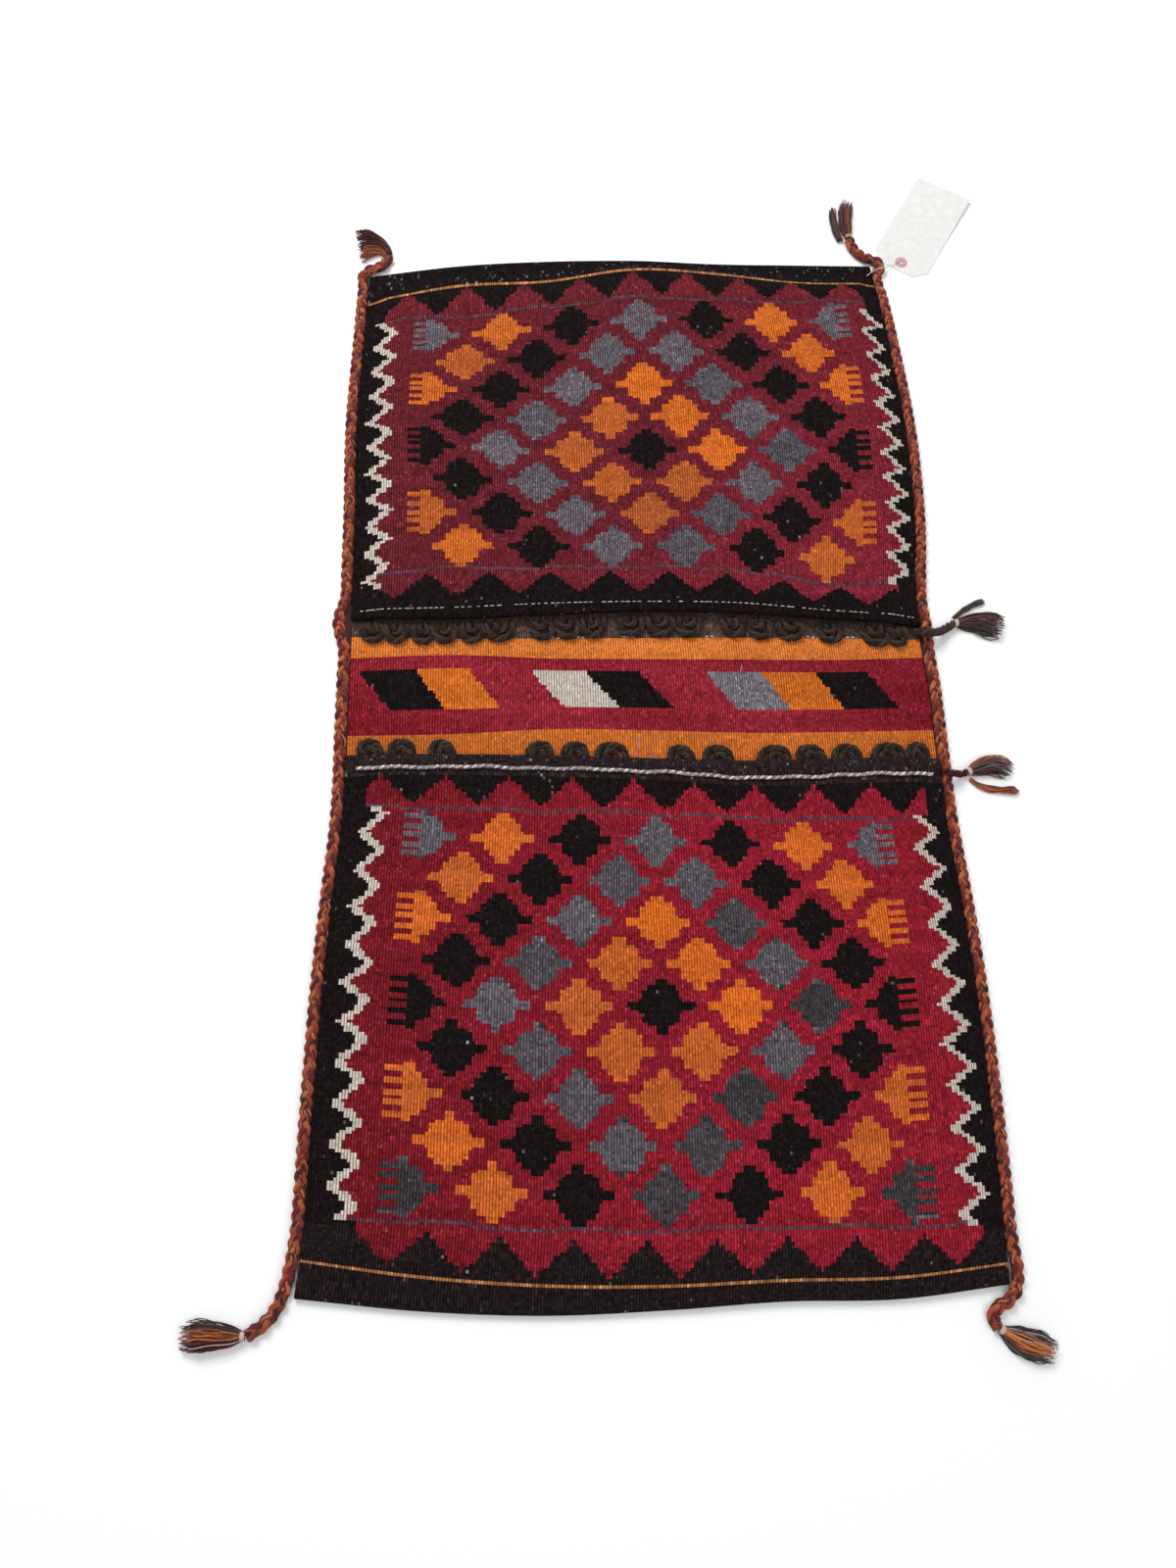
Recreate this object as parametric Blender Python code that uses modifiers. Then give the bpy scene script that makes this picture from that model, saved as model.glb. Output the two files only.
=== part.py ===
# Kilim saddle bag (khorjin): one long woven strip folded into two pouches with a bridge between them.
# Metres, +Z up, +Y towards the far pouch. The origin is the middle of the flat underside.

import math

import bmesh
import bpy
import numpy as np
from mathutils import Matrix, Vector

# Driving dimensions of the woven strip
CLOTH = 0.0030
HALF_WIDTH = 0.270
HALF_LENGTH = 0.490
FOLD_GAP = 0.0012
POUCH_GAP = 0.0092
SIDE_SLOPE = 0.029
FOLD_SLOPE = 0.030
HEM_DEPTH = 0.014
HEM_GAP = 0.0006
SEAT_GAP = 0.0003
LOWER_LIP = 0.0390
UPPER_LIP = 0.0960
FOLD_STEPS = 4
WEFT_BOW = 0.008

# Motif lattice: column pitch, row pitch and centre of each pouch, in chart metres
LOWER_PITCH = 0.0660
UPPER_PITCH = 0.0698
ROW_PITCH = 0.0362
LOWER_CENTRE = (-0.0029, -0.2596)
UPPER_CENTRE = (0.0021, 0.2714)
COMB_TEETH = 6

# Bands of the bridge as chart heights, and its slanting blocks as start, width, slant and colours
STRIPE_LOWER_TOP = -0.0150
STRIPE_UPPER_BOTTOM = 0.0545
BROWN_BOTTOM = 0.0780
SLANT_BOTTOM = 0.0075
SLANT_TOP = 0.0438
SLANT_GROUPS = ((-0.264, 0.0485, 0.0300, ("black", "orange")), (-0.113, 0.0500, 0.0340, ("ivory", "black")),
                (0.0505, 0.0525, 0.0295, ("grey", "orange", "black")))

# Borders of the pouches, as chart heights of tips, peaks and lines
LOWER_NEAR = {"base": -0.0865, "tip": -0.0625, "phase": -0.0207, "pitch": 0.0547}
LOWER_FAR = {"base": -0.4365, "tip": -0.4645, "phase": 0.0105, "pitch": 0.0562}
UPPER_NEAR = {"base": 0.1365, "tip": 0.1155, "phase": -0.0070, "pitch": 0.0562}
UPPER_FAR = {"base": 0.4445, "tip": 0.4625, "phase": 0.0015, "pitch": 0.0562}
TAN_LINES = (-0.4715, 0.4665)
THIN_LINE = 0.0020

# Zigzags: outer and inner reach from the middle, first outer tip, last outer tip, spacing and skew
ZIGZAG_WIDTH = 0.0088
ZIGZAG_REACH = 0.221
ZIGZAGS = {
    ("lower", -1): {"outer": 0.2595, "inner": 0.2305, "first": -0.0850,
                    "pitch": 0.0321, "teeth": 11, "skew": 0.44},
    ("lower", 1): {"outer": 0.2655, "inner": 0.2310, "first": -0.1020,
                   "pitch": 0.0337, "teeth": 10, "skew": 0.50},
    ("upper", -1): {"outer": 0.2640, "inner": 0.2370, "first": 0.4345,
                    "pitch": 0.0295, "teeth": 11, "skew": 0.40},
    ("upper", 1): {"outer": 0.2670, "inner": 0.2360, "first": 0.4240,
                   "pitch": 0.0261, "teeth": 12, "skew": 0.35},
}

# How far woven lines lie off their chart heights at seven stations across the bag, chosen by hand
STATIONS = tuple(HALF_WIDTH * k / 3 for k in range(-3, 4))
LEVELS = (
    (-0.4900, (0.0115, 0.0005, -0.0045, -0.0025, 0.0020, 0.0020, 0.0110)),
    (-0.4720, (0.0200, 0.0060, -0.0020, -0.0040, -0.0015, -0.0010, 0.0080)),
    (-0.4290, (0.0112, 0.0040, -0.0030, -0.0050, -0.0040, -0.0050, -0.0029)),
    (-0.2600, (0.0123, 0.0058, 0.0018, 0.0008, 0.0008, 0.0018, 0.0082)),
    (-0.0900, (0.0062, 0.0016, -0.0004, -0.0034, -0.0074, -0.0084, -0.0058)),
    (-0.0550, (0.0035, 0.0045, 0.0030, 0.0000, -0.0055, -0.0025, 0.0000)),
    (-0.0390, (0.0020, 0.0015, 0.0005, -0.0020, -0.0040, -0.0015, 0.0000)),
    (-0.0150, (-0.0025, -0.0005, 0.0045, 0.0035, 0.0015, 0.0025, 0.0045)),
    (0.0545, (0.0020, 0.0060, 0.0030, 0.0030, 0.0030, 0.0030, 0.0060)),
    (0.0780, (0.0010, 0.0000, 0.0010, 0.0020, 0.0030, 0.0030, 0.0020)),
    (0.0960, (-0.0040, -0.0040, 0.0010, 0.0050, 0.0040, -0.0015, -0.0060)),
    (0.1110, (-0.0070, -0.0025, 0.0025, 0.0040, 0.0035, -0.0045, -0.0090)),
    (0.1390, (-0.0054, 0.0024, 0.0034, 0.0054, 0.0024, -0.0106, -0.0095)),
    (0.2715, (0.0049, -0.0003, -0.0063, -0.0023, -0.0003, 0.0007, 0.0049)),
    (0.4410, (-0.0318, -0.0239, -0.0109, 0.0030, 0.0020, 0.0020, 0.0075)),
    (0.4670, (-0.0320, -0.0100, -0.0025, 0.0145, 0.0110, 0.0020, 0.0030)),
    (0.4900, (-0.0200, -0.0050, 0.0028, 0.0057, 0.0038, 0.0048, 0.0057)),
)
# How far the two sides stand out from the half width, by height, chosen by hand
LEFT_SIDE = ((-0.480, 0.0168), (-0.440, 0.0122), (-0.350, 0.0090), (-0.240, 0.0050), (-0.160, 0.0000),
             (-0.100, -0.0048), (0.000, -0.0055), (0.110, -0.0055), (0.200, -0.0050),
             (0.300, -0.0032), (0.400, -0.0070), (0.480, -0.0100))
RIGHT_SIDE = ((-0.480, 0.0000), (-0.350, 0.0008), (-0.250, -0.0005), (-0.150, -0.0060),
              (-0.100, -0.0100), (-0.030, -0.0115), (0.030, -0.0123), (0.110, -0.0166),
              (0.200, -0.0095), (0.300, -0.0085), (0.400, -0.0160), (0.440, -0.0201),
              (0.480, -0.0254), (0.500, -0.0280))

# Side braids: section, length of a lobe, and the routes of their two ends from the bag's corners
BRAID_WIDTH = 0.0100
BRAID_HEIGHT = 0.0090
BRAID_LOBE = 0.0130
BRAID_SWELL = 0.0009
BRAID_SIDES = 6
BRAID_GAP = 0.0008
LEFT_HEAD = ((0.0270, 0.0050), (0.0245, -0.0020), (0.0185, -0.0075), (0.0100, -0.0110),
             (0.0032, -0.0185))
LEFT_TAIL = ((-0.0190, 0.0450), (-0.0212, 0.0320), (-0.0242, 0.0190), (-0.0285, 0.0070),
             (-0.0345, -0.0020), (-0.0415, -0.0085), (-0.0512, -0.0140))
LEFT_SWING = 0.0060
RIGHT_HEAD = ((-0.0450, 0.0390), (-0.0425, 0.0300), (-0.0375, 0.0225), (-0.0305, 0.0170),
              (-0.0210, 0.0140), (-0.0155, 0.0085))
RIGHT_TAIL = ((0.0068, 0.0400), (0.0080, 0.0220), (0.0045, 0.0060), (-0.0030, -0.0015),
              (-0.0115, -0.0060), (-0.0155, -0.0130), (-0.0120, -0.0200))
RIGHT_SWING = 0.0020
SWING_HEIGHT = 0.0930

# Closure loops of plied goat hair along the two mouths: middle and width as shares of the half width
LOOP_CORD = 0.0056
UPPER_LOOPS = ((-0.9111, 0.0815), (-0.8296, 0.0815), (-0.7444, 0.0815), (-0.6630, 0.0815),
               (-0.5778, 0.0815), (-0.4852, 0.0963), (-0.3481, 0.0815), (-0.2593, 0.0889),
               (-0.1704, 0.0815), (-0.0444, 0.0889), (0.0556, 0.0963), (0.1556, 0.0889),
               (0.3000, 0.0815), (0.3926, 0.0815), (0.4963, 0.0963), (0.6296, 0.0889),
               (0.7889, 0.0963), (0.8685, 0.0593))
LOWER_LOOPS = ((-0.9000, 0.0815), (-0.8037, 0.0889), (-0.6704, 0.0815), (-0.3593, 0.0889),
               (-0.2444, 0.0889), (-0.1222, 0.1037), (0.1074, 0.0815), (0.2259, 0.0963),
               (0.4074, 0.1037), (0.5370, 0.0963), (0.6519, 0.0963), (0.7889, 0.1111),
               (0.8852, 0.0815))
UPPER_LOOP_DROP = 0.015
LOWER_LOOP_RISE = 0.009

LAID_CORD = 0.0034
LAID_CORD_HEIGHT = -0.0550

# Tassels: what each hangs from, colour, tie, and stations from there as x, y and half width, neck first
TASSEL_FLATNESS = 0.45
TASSEL_SIDES = 8
TIE_WIRE = 0.0010
TIE_RADIUS = 0.0038
NECK_LENGTH = 0.0036
TASSELS = {
    "top_left": ("top_left", "maroon", None, (
        (0.0270, 0.0085, 0.0042), (0.0225, 0.0150, 0.0065), (0.0140, 0.0190, 0.0100),
        (0.0045, 0.0200, 0.0130), (-0.0050, 0.0185, 0.0130))),
    "top_right": ("top_right", "maroon", "tan", (
        (-0.0454, 0.0401, 0), (-0.0465, 0.0500, 0.0055), (-0.0470, 0.0610, 0.0072),
        (-0.0460, 0.0760, 0.0080), (-0.0425, 0.0910, 0.0055))),
    "top_right_strand": ("top_right", "brown", None, (
        (-0.0536, 0.0390, 0.0036), (-0.0570, 0.0500, 0.0040), (-0.0585, 0.0610, 0.0036),
        (-0.0590, 0.0720, 0.0034), (-0.0582, 0.0820, 0.0024))),
    "upper_mouth": ("upper_mouth", "maroon", "ivory", (
        (0.0180, -0.0008, 0), (0.0275, 0.0005, 0.0070), (0.0390, 0.0005, 0.0110),
        (0.0520, -0.0015, 0.0145), (0.0640, -0.0050, 0.0125))),
    "upper_mouth_wisp": ("upper_mouth", "brown", None, (
        (0.0190, 0.0058, 0.0018), (0.0290, 0.0140, 0.0022), (0.0395, 0.0200, 0.0026),
        (0.0505, 0.0240, 0.0016))),
    "lower_mouth": ("lower_mouth", "maroon", "ivory", (
        (0.0141, -0.0120, 0), (0.0235, -0.0080, 0.0070), (0.0340, -0.0050, 0.0095),
        (0.0455, -0.0060, 0.0105), (0.0555, -0.0110, 0.0070))),
    "lower_mouth_strand": ("lower_mouth", "rust", None, (
        (0.0165, -0.0177, 0.0020), (0.0235, -0.0235, 0.0028), (0.0320, -0.0270, 0.0036),
        (0.0420, -0.0285, 0.0040), (0.0530, -0.0288, 0.0038), (0.0610, -0.0285, 0.0024))),
    "bottom_left": ("bottom_left", "maroon", "ivory", (
        (-0.0523, -0.0143, 0), (-0.0620, -0.0145, 0.0080), (-0.0750, -0.0140, 0.0115),
        (-0.0880, -0.0140, 0.0130), (-0.1015, -0.0150, 0.0095))),
    "bottom_right": ("bottom_right", "rust", "ivory", (
        (-0.0110, -0.0210, 0), (-0.0030, -0.0260, 0.0080), (0.0065, -0.0305, 0.0120),
        (0.0190, -0.0350, 0.0125), (0.0325, -0.0400, 0.0085))),
}

# Cords out of the right ends of the mouths, from there: x, y and how far raised over the braid
MOUTH_CORD = 0.0062
UPPER_MOUTH_CORD = ((-0.0211, -0.0120, 0.35), (-0.0186, -0.0127, 0.44), (-0.0151, -0.0138, 0.82),
                    (-0.0106, -0.0145, 0.92), (-0.0036, -0.0135, 0.80),
                    (0.0034, -0.0102, 0.35), (0.0104, -0.0055, 0.06),
                    (0.0168, -0.0015, 0.00))
LOWER_MOUTH_CORD = ((-0.0093, -0.0140, 1.05), (-0.0040, -0.0150, 0.90), (0.0025, -0.0145, 0.52),
                    (0.0075, -0.0135, 0.08), (0.0130, -0.0122, 0.00))

# Paper tag, its eyelet and its string, from the bag's top right corner
TAG_LENGTH = 0.119
TAG_WIDTH = 0.0595
TAG_CLIP = 0.012
TAG_THICKNESS = 0.0004
TAG_HEADING = 60.0
TAG_CURL = 0.0032
TAG_BENDS = 12
EYELET_PLACE = (0.0079, 0.0154)
EYELET_EDGE = 0.010
EYELET_OUTER = 0.0062
EYELET_INNER = 0.0018
STRING_DIAMETER = 0.0008
STRING_ROUTE = ((-0.0320, -0.0100, 0.95), (-0.0270, -0.0055, 0.95), (-0.0220, -0.0025, 0.98),
                (-0.0160, 0.0005, 0.94), (-0.0100, 0.0045, 0.50),
                (-0.0045, 0.0090, 0.20), (0.0010, 0.0130, 0.18), (0.0061, 0.0153, 0.17),
                (0.0082, 0.0154, 0.06))

COLOURS = {
    "black": (0.011, 0.010, 0.011, 1.0),
    "madder": (0.230, 0.022, 0.032, 1.0),
    "orange": (0.640, 0.155, 0.025, 1.0),
    "grey": (0.115, 0.096, 0.110, 1.0),
    "ivory": (0.580, 0.510, 0.440, 1.0),
    "brown": (0.070, 0.044, 0.034, 1.0),
    "tan": (0.420, 0.180, 0.060, 1.0),
    "maroon": (0.075, 0.014, 0.012, 1.0),
    "rust": (0.370, 0.090, 0.025, 1.0),
    "paper": (0.760, 0.750, 0.720, 1.0),
    "pink": (0.560, 0.330, 0.360, 1.0),
}
ROUGHNESS = 0.9


def clear_scene():
    for item in list(bpy.data.objects):
        bpy.data.objects.remove(item, do_unlink=True)


def wool(name):
    """One matt material for each yarn colour."""
    material = bpy.data.materials.get(name)
    if material is None:
        material = bpy.data.materials.new(name)
        material.use_nodes = True
        shader = material.node_tree.nodes["Principled BSDF"]
        shader.inputs["Base Color"].default_value = COLOURS[name]
        shader.inputs["Roughness"].default_value = ROUGHNESS
        shader.inputs["Metallic"].default_value = 0.0
        material.diffuse_color = COLOURS[name]
    return material


def smooth_through(knots, values, x):
    """Cubic curve through hand-chosen points, level with its neighbours at each of them."""
    knots = np.asarray(knots, float)
    values = np.asarray(values, float)
    x = np.clip(np.asarray(x, float), knots[0], knots[-1])
    slopes = np.gradient(values, knots)
    i = np.clip(np.searchsorted(knots, x, side="right") - 1, 0, len(knots) - 2)
    h = knots[i + 1] - knots[i]
    t = (x - knots[i]) / h
    rise = 3 * t**2 - 2 * t**3
    start = (t**3 - 2 * t**2 + t) * h * slopes[i]
    end = (t**3 - t**2) * h * slopes[i + 1]
    return values[i] * (1 - rise) + values[i + 1] * rise + start + end


def line_height(b, a):
    """Height on the bag of chart height b at chart width a."""
    heights = [level[0] for level in LEVELS]
    i = int(np.clip(np.searchsorted(heights, b, side="right") - 1, 0, len(heights) - 2))
    t = min(max((b - heights[i]) / (heights[i + 1] - heights[i]), 0.0), 1.0)
    low = smooth_through(STATIONS, LEVELS[i][1], a)
    high = smooth_through(STATIONS, LEVELS[i + 1][1], a)
    return b + float(low * (1 - t) + high * t)


def side_at(side, y):
    points = LEFT_SIDE if side < 0 else RIGHT_SIDE
    return side * (HALF_WIDTH + float(smooth_through([p[0] for p in points], [p[1] for p in points], y)))


def hung_from(anchor, points):
    """Points given from a corner of the bag, or from the right end of a mouth, at their places."""
    x = -HALF_WIDTH if anchor.endswith("left") else HALF_WIDTH
    heights = {"top": HALF_LENGTH, "bottom": -HALF_LENGTH, "upper": UPPER_LIP, "lower": -LOWER_LIP}
    y = heights[anchor.split("_")[0]]
    return [(x + point[0], y + point[1], *point[2:]) for point in points]


def on_bag(a, b):
    """Chart point to its place in plan: the strip is not quite straight and its wefts bow."""
    y = line_height(b, a)
    left = side_at(-1, y)
    right = side_at(1, y)
    q = a / HALF_WIDTH
    return left + (right - left) * (q + 1) / 2 + WEFT_BOW * (1 - q * q), y


PLATEAU = HALF_WIDTH - SIDE_SLOPE
FOLD_RADIUS = (CLOTH + FOLD_GAP) / 2
HEM_RADIUS = (CLOTH + HEM_GAP) / 2
FOLD_REACH = HALF_LENGTH - FOLD_RADIUS - CLOTH / 2


def lip_reach(side):
    lip = LOWER_LIP if side < 0 else UPPER_LIP
    return lip + HEM_RADIUS + CLOTH / 2


def pouch_gap(a, reach, side):
    """Clear height inside a pouch: it closes at the sides and at the fold; the hem keeps its sides apart."""
    from_side = min((HALF_WIDTH - abs(a)) / SIDE_SLOPE, 1.0)
    from_fold = min((FOLD_REACH - reach) / FOLD_SLOPE, 1.0)
    near_mouth = min(max(1.0 - (reach - lip_reach(side) - HEM_DEPTH) / SIDE_SLOPE, 0.0), 1.0)
    edge = FOLD_GAP + (CLOTH + 2 * HEM_GAP - FOLD_GAP) * near_mouth
    return edge + (POUCH_GAP - edge) * max(min(from_side, from_fold), 0.0)


def run_lengths(side):
    """Lengths along the strip from its middle: back, fold, front, hem fold and hem."""
    front = FOLD_REACH - lip_reach(side)
    lengths = [FOLD_REACH, math.pi * FOLD_RADIUS, front, math.pi * HEM_RADIUS, HEM_DEPTH]
    return [sum(lengths[:k + 1]) for k in range(len(lengths))]


def strip_point(a, s):
    """Place a point of the flat strip (a across, s along) where the folded strip has it."""
    side = -1 if s < 0 else 1
    d = abs(s)
    back, fold, front, hem_fold, _ = run_lengths(side)
    lip = lip_reach(side)
    middle = CLOTH / 2
    if d <= back:
        reach = d
        z = middle
    elif d <= fold:
        angle = (d - back) / FOLD_RADIUS
        reach = FOLD_REACH + FOLD_RADIUS * math.sin(angle)
        z = middle + FOLD_RADIUS * (1 - math.cos(angle))
    elif d <= front:
        reach = FOLD_REACH - (d - fold)
        z = middle + CLOTH + pouch_gap(a, reach, side)
    elif d <= hem_fold:
        angle = (d - front) / HEM_RADIUS
        reach = lip - HEM_RADIUS * math.sin(angle)
        z = middle + CLOTH + pouch_gap(a, lip, side) - HEM_RADIUS * (1 - math.cos(angle))
    else:
        reach = lip + (d - hem_fold)
        z = middle + CLOTH + pouch_gap(a, reach, side) - 2 * HEM_RADIUS
    x, y = on_bag(a, side * reach)
    return Vector((x, y, z))


def front_s(b):
    """Place along the strip of chart height b on a pouch front."""
    side = -1 if b < 0 else 1
    return side * (run_lengths(side)[1] + FOLD_REACH - abs(b))


def chart_height(s):
    """Chart height shown at a place along the strip, and whether it is on a pouch front."""
    side = -1 if s < 0 else 1
    d = abs(s)
    back, fold, front, _, _ = run_lengths(side)
    if d <= back:
        return side * d, False
    if d <= fold:
        return side * HALF_LENGTH, True
    if d <= front:
        return side * (FOLD_REACH - (d - fold)), True
    return side * lip_reach(side), True


def zigzag_edge(spec, b):
    """Outer edge of a zigzag at chart height b, as a distance from the middle."""
    turns = ((spec["first"] - b) / spec["pitch"]) % 1.0
    skew = spec["skew"]
    across = turns / skew if turns < skew else (1.0 - turns) / (1.0 - skew)
    return spec["outer"] - (spec["outer"] - spec["inner"] - ZIGZAG_WIDTH) * across


def zigzag_span(spec):
    return spec["first"] - spec["pitch"] * spec["teeth"], spec["first"]


def side_colour(pouch, a, b):
    """Colour of the strip beside the field: black border, ivory zigzag, or none where the field begins."""
    spec = ZIGZAGS[(pouch, -1 if a < 0 else 1)]
    low, high = zigzag_span(spec)
    if not low < b < high:
        return "black" if abs(a) > PLATEAU else None
    edge = zigzag_edge(spec, b)
    if abs(a) > edge:
        return "black"
    if abs(a) > edge - ZIGZAG_WIDTH:
        return "ivory"
    return "madder" if abs(a) > PLATEAU else None


def border_colour(border, a, b):
    """Teeth of an end border: madder inside a tooth, black outside it."""
    turns = abs(((a - border["phase"]) / border["pitch"] + 0.5) % 1.0 - 0.5) * 2
    depth = (b - border["base"]) / (border["tip"] - border["base"])
    if depth > 1.0 - turns:
        return "black"
    return "madder"


def motif_colour(column, row):
    return ("black", "orange", "grey")[int(round(abs(column) + abs(row) / 2)) % 3]


def comb_tooth(v):
    """True on one of the teeth that a half motif ends in."""
    reach = 3 * ROW_PITCH / 8
    turns = (v + reach) / (2 * reach) * (COMB_TEETH - 0.5)
    return abs(v) < reach and turns % 1.0 < 0.5


def field_colour(centre, pitch, rows, a, b):
    """Stepped cross motifs in alternating rows, with comb-ended half motifs at both sides."""
    row = round((centre[1] - b) / ROW_PITCH)
    for r in (row - 1, row, row + 1):
        if not rows[0] <= r <= rows[1]:
            continue
        v = b - (centre[1] - r * ROW_PITCH)
        offset = 0.5 * (r % 2)
        column = round((a - centre[0]) / pitch - offset) + offset
        column = min(max(column, -3 + offset), 3 - offset)
        u = a - centre[0] - column * pitch
        inward = -u if column > 0 else u
        half_motif = abs(column) == 3
        if half_motif and inward < -pitch / 6:
            if inward > -5 * pitch / 12 and comb_tooth(v):
                return motif_colour(column, r)
            continue
        body = abs(u) < pitch / 4 and abs(v) < 3 * ROW_PITCH / 8
        nub_up = abs(u) < pitch / 12 and abs(v) < 5 * ROW_PITCH / 8
        nub_side = abs(u) < 5 * pitch / 12 and abs(v) < ROW_PITCH / 8
        if body or nub_up or nub_side:
            return motif_colour(column, r)
    return "madder"


def bridge_colour(a, b):
    if b < -LOWER_LIP:
        return "madder"
    if b < STRIPE_LOWER_TOP:
        return "orange"
    if b > UPPER_LIP:
        return "madder"
    if b > BROWN_BOTTOM:
        return "brown"
    if b > STRIPE_UPPER_BOTTOM:
        return "orange"
    if SLANT_BOTTOM < b < SLANT_TOP:
        fall = (SLANT_TOP - b) / (SLANT_TOP - SLANT_BOTTOM)
        for start, width, slant, names in SLANT_GROUPS:
            place = (a - start - slant * fall) / width
            if 0.0 < place < len(names):
                return names[int(place)]
    return "madder"


def pouch_colour(a, b):
    pouch = "lower" if b < 0 else "upper"
    near, far = (LOWER_NEAR, LOWER_FAR) if b < 0 else (UPPER_NEAR, UPPER_FAR)
    if any(abs(b - line) < THIN_LINE / 2 for line in TAN_LINES):
        return "tan"
    reach = abs(b)
    if reach > abs(far["tip"]) or reach < abs(near["tip"]):
        return "black"
    beside = side_colour(pouch, a, b)
    if beside:
        return beside
    if reach > abs(far["base"]):
        return border_colour(far, a, b)
    if reach < abs(near["base"]):
        return border_colour(near, a, b)
    if pouch == "lower":
        return field_colour(LOWER_CENTRE, LOWER_PITCH, (-4, 4), a, b)
    return field_colour(UPPER_CENTRE, UPPER_PITCH, (-4, 3), a, b)


def strip_colour(a, s):
    b, on_front = chart_height(s)
    if on_front:
        return pouch_colour(a, b)
    if abs(b) > HALF_LENGTH - FOLD_SLOPE:
        return "black"
    return bridge_colour(a, b)


def new_object(name, mesh, home):
    item = bpy.data.objects.new(name, mesh)
    home.objects.link(item)
    return item


def cut(bm, keep, point, normal):
    """Cut the faces whose middle passes the test along one straight line."""
    faces = [face for face in bm.faces if keep(face.calc_center_median())]
    edges = {edge for face in faces for edge in face.edges}
    verts = {vert for face in faces for vert in face.verts}
    geom = list(verts) + list(edges) + faces
    bmesh.ops.bisect_plane(bm, geom=geom, dist=1e-6, plane_co=point, plane_no=normal)


def cut_across(bm, keep, s):
    cut(bm, keep, (0, s, 0), (0, 1, 0))


def cut_along(bm, keep, a):
    cut(bm, keep, (a, 0, 0), (1, 0, 0))


def within(a_low, a_high, s_one, s_two):
    low, high = min(s_one, s_two), max(s_one, s_two)
    return lambda p: a_low < p.x < a_high and low < p.y < high


def cut_field(bm, centre, pitch, rows, s_low, s_high):
    """Cut a pouch front along the steps of its motifs."""
    keep = within(-PLATEAU, PLATEAU, s_low, s_high)
    twelfth = pitch / 12
    for k in range(-19, 20):
        cut_along(bm, keep, centre[0] + (2 * k - 1) * twelfth)
    for twelfths in (39, 41, -41):
        cut_along(bm, keep, centre[0] + twelfths * twelfth)
    eighth = ROW_PITCH / 8
    for k in range(int(rows[0] * 8) - 5, int(rows[1] * 8) + 6):
        if k % 2:
            cut_across(bm, keep, front_s(centre[1] - k * eighth))
    for r in range(rows[0], rows[1] + 1):
        if r % 2:
            continue
        reach = 3 * ROW_PITCH / 8
        for side in (-1, 1):
            root = centre[0] + side * (3 * pitch + pitch / 12 * 2)
            tip = centre[0] + side * (3 * pitch + pitch / 12 * 5)
            comb = within(min(root, tip), max(root, tip), front_s(centre[1] - r * ROW_PITCH - reach),
                          front_s(centre[1] - r * ROW_PITCH + reach))
            cut_along(bm, within(-HALF_WIDTH, HALF_WIDTH, s_low, s_high), root)
            for k in range(1, 2 * COMB_TEETH - 1):
                v = -reach + 2 * reach * k / (2 * COMB_TEETH - 1)
                cut_across(bm, comb, front_s(centre[1] - r * ROW_PITCH + v))


def cut_slanted(bm, keep, start, end):
    """Cut along the line from start to end, both (a, s)."""
    cut(bm, keep, (start[0], start[1], 0), (end[1] - start[1], start[0] - end[0], 0))


def cut_zigzag(bm, side, spec):
    """Cut the two slanting edges of a zigzag, half a tooth at a time."""
    low, high = zigzag_span(spec)
    bends = []
    for k in range(spec["teeth"]):
        bends.append(spec["first"] - k * spec["pitch"])
        bends.append(spec["first"] - (k + spec["skew"]) * spec["pitch"])
    bends.append(low)
    left, right = sorted((side * HALF_WIDTH, side * ZIGZAG_REACH))
    for b in bends:
        cut_across(bm, within(left, right, front_s(low - THIN_LINE), front_s(high + THIN_LINE)), front_s(b))
    for top, bottom in zip(bends, bends[1:]):
        keep = within(left, right, front_s(top), front_s(bottom))
        for shift in (0.0, ZIGZAG_WIDTH):
            start = (side * (zigzag_edge(spec, top - 1e-7) - shift), front_s(top))
            end = (side * (zigzag_edge(spec, bottom + 1e-7) - shift), front_s(bottom))
            cut_slanted(bm, keep, start, end)


def cut_border(bm, border):
    """Cut the teeth of an end border, half a tooth at a time."""
    base, tip = front_s(border["base"]), front_s(border["tip"])
    half = border["pitch"] / 2
    count = int(PLATEAU / half) + 2
    bends = [border["phase"] + k * half for k in range(-count, count + 1)]
    for a in bends:
        if abs(a) < PLATEAU:
            cut_along(bm, within(-PLATEAU, PLATEAU, base, tip), a)
    for k, (left, right) in enumerate(zip(bends, bends[1:])):
        rising = (k - count) % 2 == 1
        start = (left, base if rising else tip)
        end = (right, tip if rising else base)
        low, high = max(left, -PLATEAU), min(right, PLATEAU)
        cut_slanted(bm, within(low, high, base, tip), start, end)


def strip_rows():
    """Places along the strip where the folded shape bends or its sides curve."""
    rows = set()
    for side in (-1, 1):
        back, fold, front, hem_fold, hem = run_lengths(side)
        rows.update(side * back * k / 8 for k in range(9))
        rows.update(side * (back + (fold - back) * k / FOLD_STEPS) for k in range(FOLD_STEPS + 1))
        slope_end = front - SIDE_SLOPE - HEM_DEPTH
        rows.update(side * (fold + FOLD_SLOPE + (slope_end - fold - FOLD_SLOPE) * k / 5) for k in range(6))
        rows.update((side * (front - HEM_DEPTH), side * front))
        rows.update(side * (front + (hem_fold - front) * k / FOLD_STEPS) for k in range(1, FOLD_STEPS + 1))
        rows.add(side * hem)
    return sorted(rows)


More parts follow.
